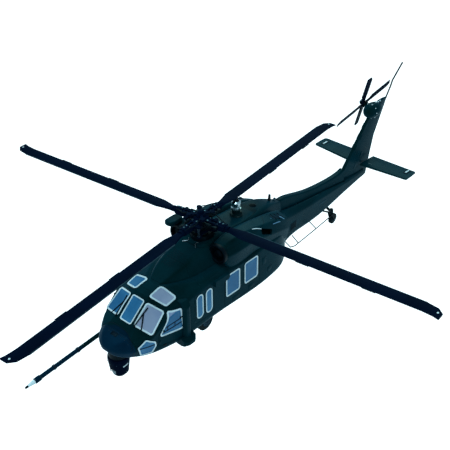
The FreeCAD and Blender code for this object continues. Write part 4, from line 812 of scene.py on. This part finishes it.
screws = {"count": 15, "y": -96.6, "radius": 0.34}
build = bmesh.new()
for k in range(screws["count"]):
    angle = math.radians(-105 + 210 * k / (screws["count"] - 1))
    out = Vector((math.sin(angle), 0, math.cos(angle)))
    place, normal = skinHit(["nose_cap"], Vector((0, screws["y"], 12.0)) + out * 60, -out)
    addSpin(build, [(-0.1, screws["radius"]), (0.12, screws["radius"]), (0.2, 0.18), (0.2, 0.0)],
            place, normal, 10)
finishPiece("noseScrews", build, "hubMetal", "airframe")

print("nose details")


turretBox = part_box("turret_ball")
ballAt = Vector(joints["turret_tilt"]["pos_m"]) / milli
ballRadius = ballAt.z - turretBox[0].z / milli
stripe = {"from": (1.2, -5.9, 1.0), "to": (4.0, -3.3, 3.6), "width": 1.0,
          "yoke": [(7.6, -97.6, -9.9), (8.3, -93.0, -8.6)]}
build = bmesh.new()
path = []
for k in range(13):
    out = Vector(stripe["from"]).normalized().slerp(Vector(stripe["to"]).normalized(), k / 12)
    path.append((ballAt + out * ballRadius, out))
addRibbon(build, path, stripe["width"], -0.1, 0.14)
finishPiece("turretStripe", build, "markWhite", "turret_ball")
build = bmesh.new()
path = skinPath(["turret_yoke"], [(x + 20, y - 20, z) for x, y, z in stripe["yoke"]],
                (-1, 1, 0), 8)
addRibbon(build, path, stripe["width"], -0.1, 0.14)
finishPiece("yokeStripe", build, "markWhite", "turret_yoke")

lens = {"profile": [(-0.5, 2.4), (0.25, 2.4), (0.45, 2.1), (0.3, 1.7), (0.55, 1.2), (0.6, 0.0)]}
build = bmesh.new()
addSpin(build, lens["profile"], ballAt + Vector((0, -ballRadius + 0.9, 0)), (0, -1, 0), 28)
finishPiece("turretLens", build, "lensGlass", "turret_ball")

build = bmesh.new()
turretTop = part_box("turret_yoke")[1].z / milli
collar = {"bolts": 10}
for k in range(collar["bolts"]):
    angle = 2 * math.pi * (k + 0.5) / collar["bolts"]
    out = Vector((math.cos(angle), math.sin(angle), 0))
    place, normal = skinHit(["turret_yoke"], Vector((ballAt.x, ballAt.y, turretTop - 5.0))
                            + out * 30, -out)
    addSpin(build, [(-0.1, 0.42), (0.28, 0.42), (0.36, 0.3), (0.36, 0.0)], place, normal, 8)
finishPiece("turretBolts", build, "hubMetal", "turret_yoke")


probe = {"back": Vector((-30.6, -44.0, -2.4)), "front": Vector((-29.6, -148.0, -8.6))}
probeWay = (probe["front"] - probe["back"]).normalized()
bands = {"cone": [(4.9, 1.62), (5.1, 1.75), (6.3, 1.7), (11.4, 0.9), (11.8, 0.0)],
         "end": [(11.2, 0.98), (12.6, 0.98), (13.6, 0.7), (14.0, 0.0)],
         "collars": [0.0, -14.0, -38.0, -66.0], "collarRadius": 2.15}
build = bmesh.new()
addSpin(build, [(4.8, 0.0)] + bands["cone"], probe["front"], probeWay, 24)
finishPiece("probeCone", build, "markWhite", "airframe")
build = bmesh.new()
addSpin(build, [(11.0, 0.0)] + bands["end"], probe["front"], probeWay, 20)
finishPiece("probeEnd", build, "blackPlastic", "airframe")
build = bmesh.new()
for along in bands["collars"]:
    addSpin(build, [(along - 0.9, 1.7), (along - 0.8, bands["collarRadius"]),
                    (along + 0.8, bands["collarRadius"]), (along + 0.9, 1.7)],
            probe["front"], probeWay, 24)
finishPiece("probeCollars", build, "hubMetal", "airframe")
print("turret and probe")


def wheelTrim(name, joint, node, body, rimShare):
    centre = Vector(joints[joint]["pos_m"]) / milli
    low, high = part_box(node)
    halfWide = (high.x - low.x) / 2 / milli
    tyreRadius = (high.z - low.z) / 2 / milli
    middle = Vector(((high.x + low.x) / 2 / milli, centre.y, centre.z))
    rim = tyreRadius * rimShare
    build = bmesh.new()
    for side in bothSides:
        inward = [(halfWide - 0.35, rim), (halfWide + 0.16, rim * 0.97),
                  (halfWide + 0.18, rim * 0.8), (halfWide - 0.15, rim * 0.72),
                  (halfWide - 0.2, rim * 0.42), (halfWide + 0.22, rim * 0.36),
                  (halfWide + 0.24, rim * 0.3)]
        addSpin(build, inward, middle, (side, 0, 0), 36)
        for k in range(6):
            angle = 2 * math.pi * k / 6
            spot = Vector((0, math.cos(angle), math.sin(angle))) * rim * 0.58
            addSpin(build, [(halfWide - 0.3, 0.34), (halfWide + 0.05, 0.34),
                            (halfWide + 0.12, 0.22), (halfWide + 0.12, 0.0)],
                    middle + spot, (side, 0, 0), 8)
    finishPiece(name + "Rims", build, "hubMetal", body)
    build = bmesh.new()
    for k in range(-2, 3):
        x = k * halfWide * 0.3
        radius = tyreRadius + 0.02
        addSpin(build, [(x - halfWide * 0.1, radius - 0.3), (x - halfWide * 0.09, radius),
                        (x + halfWide * 0.09, radius), (x + halfWide * 0.1, radius - 0.3)],
                middle, (1, 0, 0), 48)
    finishPiece(name + "Treads", build, "tyreRubber", body)


wheelTrim("portWheel", "main_wheel_port_spin", "main_wheel_port", "wheel_port", 0.52)
wheelTrim("starboardWheel", "main_wheel_starboard_spin", "main_wheel_starboard",
          "wheel_starboard", 0.52)
wheelTrim("tailWheel", "tail_wheel_spin", "tail_wheel", "tail_wheel", 0.5)
print("wheels")


marks = {"spots": [(46.4, 239.4), (-46.6, 234.6)], "half": (0.75, 3.3), "pad": (2.3, 4.9)}
pads = bmesh.new()
build = bmesh.new()
for x, y in marks["spots"]:
    place, normal = skinHit(["stabilator"], (x, y, 60), (0, 0, -1))
    axes = crossAxes(normal, (1, 0, 0))
    addBox(pads, place, axes, (*marks["pad"], 0.3), 0.15)
    addBox(build, place, axes, (*marks["half"], 0.42), 0.15)
finishPiece("tipLightPads", pads, "gasketBlack", "stabilator")
finishPiece("tipLights", build, "markWhite", "stabilator")

ribs = {"x": [12.0, 22.0, 32.0, 42.0], "y": (227.5, 242.6)}
build = bmesh.new()
for x in ribs["x"]:
    for side in bothSides:
        path = skinPath(["stabilator"], [(side * x, y, 60) for y in ribs["y"]], (0, 0, -1), 5)
        addRibbon(build, path, 0.4, -0.1, 0.1)
finishPiece("stabilatorRibs", build, "airframePaint", "stabilator")

tailBits = {"bolts": 9, "ring": -3.2}
gearboxAt = Vector(joints["tail_rotor_spin"]["pos_m"]) / milli
build = bmesh.new()
for k in range(tailBits["bolts"]):
    angle = 2 * math.pi * k / tailBits["bolts"]
    out = Vector((math.cos(angle), 0, math.sin(angle)))
    start = gearboxAt + Vector((0, tailBits["ring"], 0)) + out * 30
    hit, place, normal, index = nodes["tail_gearbox"].ray_cast(start * milli, -out)
    if hit and (place / milli - gearboxAt).length < 8.5:
        addSpin(build, [(-0.1, 0.5), (0.35, 0.5), (0.45, 0.35), (0.45, 0.0)], place / milli,
                normal, 8)
for y, z in ((245.4, 88.3), (249.0, 87.9), (252.2, 87.0)):
    place, normal = skinHit(["tail_gearbox", "boom_port", "boom_starboard"], (0.9, y, 130),
                            (0, 0, -1))
    addSpin(build, [(-0.4, 0.7), (0.5, 0.7), (0.9, 0.5), (1.0, 0.0)], place, normal, 12)
finishPiece("gearboxBolts", build, "frameWhite", "airframe")

build = bmesh.new()
for y, z in ((214.0, 52.0), (222.0, 60.0), (230.0, 68.0), (226.0, 40.0), (216.0, 30.0)):
    for side in bothSides:
        place, normal = skinHit(["boom_port", "boom_starboard"], (side * 40, y, z), (-side, 0, 0))
        addBox(build, place, crossAxes(normal, (0, 0.66, 0.75)), (2.6, 1.6, 0.12), 0.08)
finishPiece("finCovers", build, "airframePaint", "airframe")

build = bmesh.new()
for y in (108.0, 120.0, 132.0, 144.0, 156.0, 168.0, 180.0):
    for side in bothSides:
        place, normal = skinHit(["spine_cover"], (side * 30, y, 28.6 if y < 150 else 27.6),
                                (-side, 0, 0))
        addBox(build, place, crossAxes(normal, (0, 1, 0)), (1.1, 0.5, 0.3), 0.15)
finishPiece("spineLatches", build, "hubMetal", "airframe")
print("tail details")


hub = Vector(joints["main_rotor_spin"]["pos_m"]) / milli
blades = {"rest": 6.2, "half": 5.6, "from": 40.0, "to": 189.6, "tip": 203.0,
          "bolts": [(8.5, 2.6), (8.5, -2.6), (13.0, 0.0), (17.5, 2.2), (17.5, -2.2), (21.5, 0.0)]}
for i, letter in enumerate("abcd"):
    turn = math.radians(blades["rest"] - 90.0 + 90.0 * i)
    out = Vector((math.cos(turn), math.sin(turn), 0))
    lead = Vector((-math.sin(turn), math.cos(turn), 0))
    rise = Vector((0, 0, 1))
    # Leading-edge strip in the lighter hub metal: partly a real abrasion strip, partly a painted highlight for the
    # thin bright line along the blade edge.
    build = bmesh.new()
    path = []
    for k in range(13):
        along = blades["from"] + (blades["to"] - blades["from"]) * k / 12
        start = hub + out * along + lead * 40
        hit, place, normal, index = nodes["main_blade_" + letter].ray_cast(start * milli, -lead)
        path.append((place / milli, lead))
    addRibbon(build, path, 0.9, -0.5, 0.12)
    finishPiece("edgeStripAndHighlight" + letter.upper(), build, "hubMetal", "main_rotor")
    build = bmesh.new()
    for along in (96.0, 150.0):
        centre = hub + out * along - lead * (blades["half"] - 0.3)
        addBox(build, centre, (out, lead, rise), (5.5, 1.1, 0.14), 0.1)
    finishPiece("trimTabs" + letter.upper(), build, "blackPlastic", "main_rotor")
    build = bmesh.new()
    place, normal = skinHit(["main_blade_" + letter],
                            hub + out * (blades["tip"] - 3.0) - lead * 1.5 + rise * 40, -rise)
    addSpin(build, [(-0.1, 0.8), (0.16, 0.75), (0.2, 0.5), (0.2, 0.0)], place, normal, 14)
    finishPiece("tipMark" + letter.upper(), build, "markWhite", "main_rotor")
    build = bmesh.new()
    hose = [hub + out * 5.0 + lead * 3.4 + rise * 4.6, hub + out * 9.0 + lead * 5.4 + rise * 5.2,
            hub + out * 14.0 + lead * 5.2 + rise * 3.4, hub + out * 19.0 + lead * 3.4 + rise * 3.0,
            hub + out * 24.0 + lead * 2.0 + rise * 1.8]
    addTube(build, curvePoints(hose, 6), 0.42, 8)
    finishPiece("hubHose" + letter.upper(), build, "blackPlastic", "main_rotor")
    build = bmesh.new()
    for along, aside in blades["bolts"]:
        spot = hub + out * along + lead * aside
        hit, place, normal, index = nodes["rotor_hub"].ray_cast((spot + rise * 30) * milli, -rise)
        if hit:
            addSpin(build, [(-0.1, 0.5), (0.4, 0.5), (0.5, 0.36), (0.5, 0.0)], place / milli,
                    rise, 6)
    finishPiece("armBolts" + letter.upper(), build, "hubMetal", "main_rotor")
print("rotor details")


view = {"place": (0.3910, -0.4133, 0.4457), "azimuth": 41.5, "height": 33.55, "lens": 69.09}
azimuth, height = math.radians(view["azimuth"]), math.radians(view["height"])
right = Vector((math.cos(azimuth), math.sin(azimuth), 0.0))
back = Vector((math.sin(azimuth) * math.cos(height), -math.cos(azimuth) * math.cos(height),
               math.sin(height)))
upward = back.cross(right)
cameraData = bpy.data.cameras.new("mainCamera")
cameraData.sensor_width = 36.0
cameraData.lens = view["lens"]
cameraData.clip_start = 0.02
cameraData.clip_end = 20.0
camera = bpy.data.objects.new("mainCamera", cameraData)
camera.matrix_world = Matrix.Translation(view["place"]) @ Matrix(
    (right, upward, back)).transposed().to_4x4()
scene.collection.objects.link(camera)
scene.camera = camera

lights = {
    "overheadSoft": {"place": (-0.25, -0.35, 1.15), "aim": (0, 0, 0), "size": 0.9,
                     "power": 7.5, "colour": (0.6, 0.9, 1.0)},
    "portFill": {"place": (1.1, -0.2, 0.5), "aim": (0, 0, 0.02), "size": 0.8,
                 "power": 2.6, "colour": (0.5, 0.86, 1.0)},
    "tailFill": {"place": (-0.5, 0.9, 0.8), "aim": (0, 0.1, 0.03), "size": 0.7,
                 "power": 3.5, "colour": (0.55, 1.0, 0.92)},
}
for name, values in lights.items():
    data = bpy.data.lights.new(name, "AREA")
    data.shape = "SQUARE"
    data.size = values["size"]
    data.energy = values["power"]
    data.color = values["colour"]
    lamp = bpy.data.objects.new(name, data)
    aim = Vector(values["place"]) - Vector(values["aim"])
    lamp.matrix_world = Matrix.Translation(values["place"]) @ aim.to_track_quat(
        "Z", "Y").to_matrix().to_4x4()
    scene.collection.objects.link(lamp)

world = bpy.data.worlds.new("studioWorld")
world.use_nodes = True
worldTree = world.node_tree
worldRay = worldTree.nodes.new("ShaderNodeLightPath")
worldColour = mixColour(worldTree, worldRay.outputs["Is Camera Ray"], (0.45, 0.82, 1.0, 1.0),
                        (1.0, 1.0, 1.0, 1.0))
worldTree.links.new(worldColour, worldTree.nodes["Background"].inputs["Color"])
worldGlow = rangeNode(worldTree, worldRay.outputs["Is Camera Ray"], 0.0, 1.0, 0.4, 1.0)
worldTree.links.new(worldGlow, worldTree.nodes["Background"].inputs["Strength"])
scene.world = world
scene.view_settings.view_transform = "Standard"
scene.view_settings.look = "None"

floorValues = {"half": 6.0, "z": -0.24, "glow": 0.9, "bounce": 0.12}
floorMesh = bpy.data.meshes.new("floor")
half = floorValues["half"]
floorMesh.from_pydata([(-half, -half, floorValues["z"]), (half, -half, floorValues["z"]),
                       (half, half, floorValues["z"]), (-half, half, floorValues["z"])],
                      [], [(0, 1, 2, 3)])
floorMaterial = bpy.data.materials.new("paleFloor")
floorMaterial.use_nodes = True
floorShader = floorMaterial.node_tree.nodes["Principled BSDF"]
floorShader.inputs["Base Color"].default_value = (0.85, 0.85, 0.86, 1.0)
floorShader.inputs["Roughness"].default_value = 0.9
floorShader.inputs["Emission Color"].default_value = (1.0, 1.0, 1.0, 1.0)
floorRay = floorMaterial.node_tree.nodes.new("ShaderNodeLightPath")
floorGlow = rangeNode(floorMaterial.node_tree, floorRay.outputs["Is Camera Ray"], 0.0, 1.0,
                      floorValues["bounce"], floorValues["glow"])
floorMaterial.node_tree.links.new(floorGlow, floorShader.inputs["Emission Strength"])
floorMesh.materials.append(floorMaterial)
floor = bpy.data.objects.new("floor", floorMesh)
scene.collection.objects.link(floor)
print("stage")
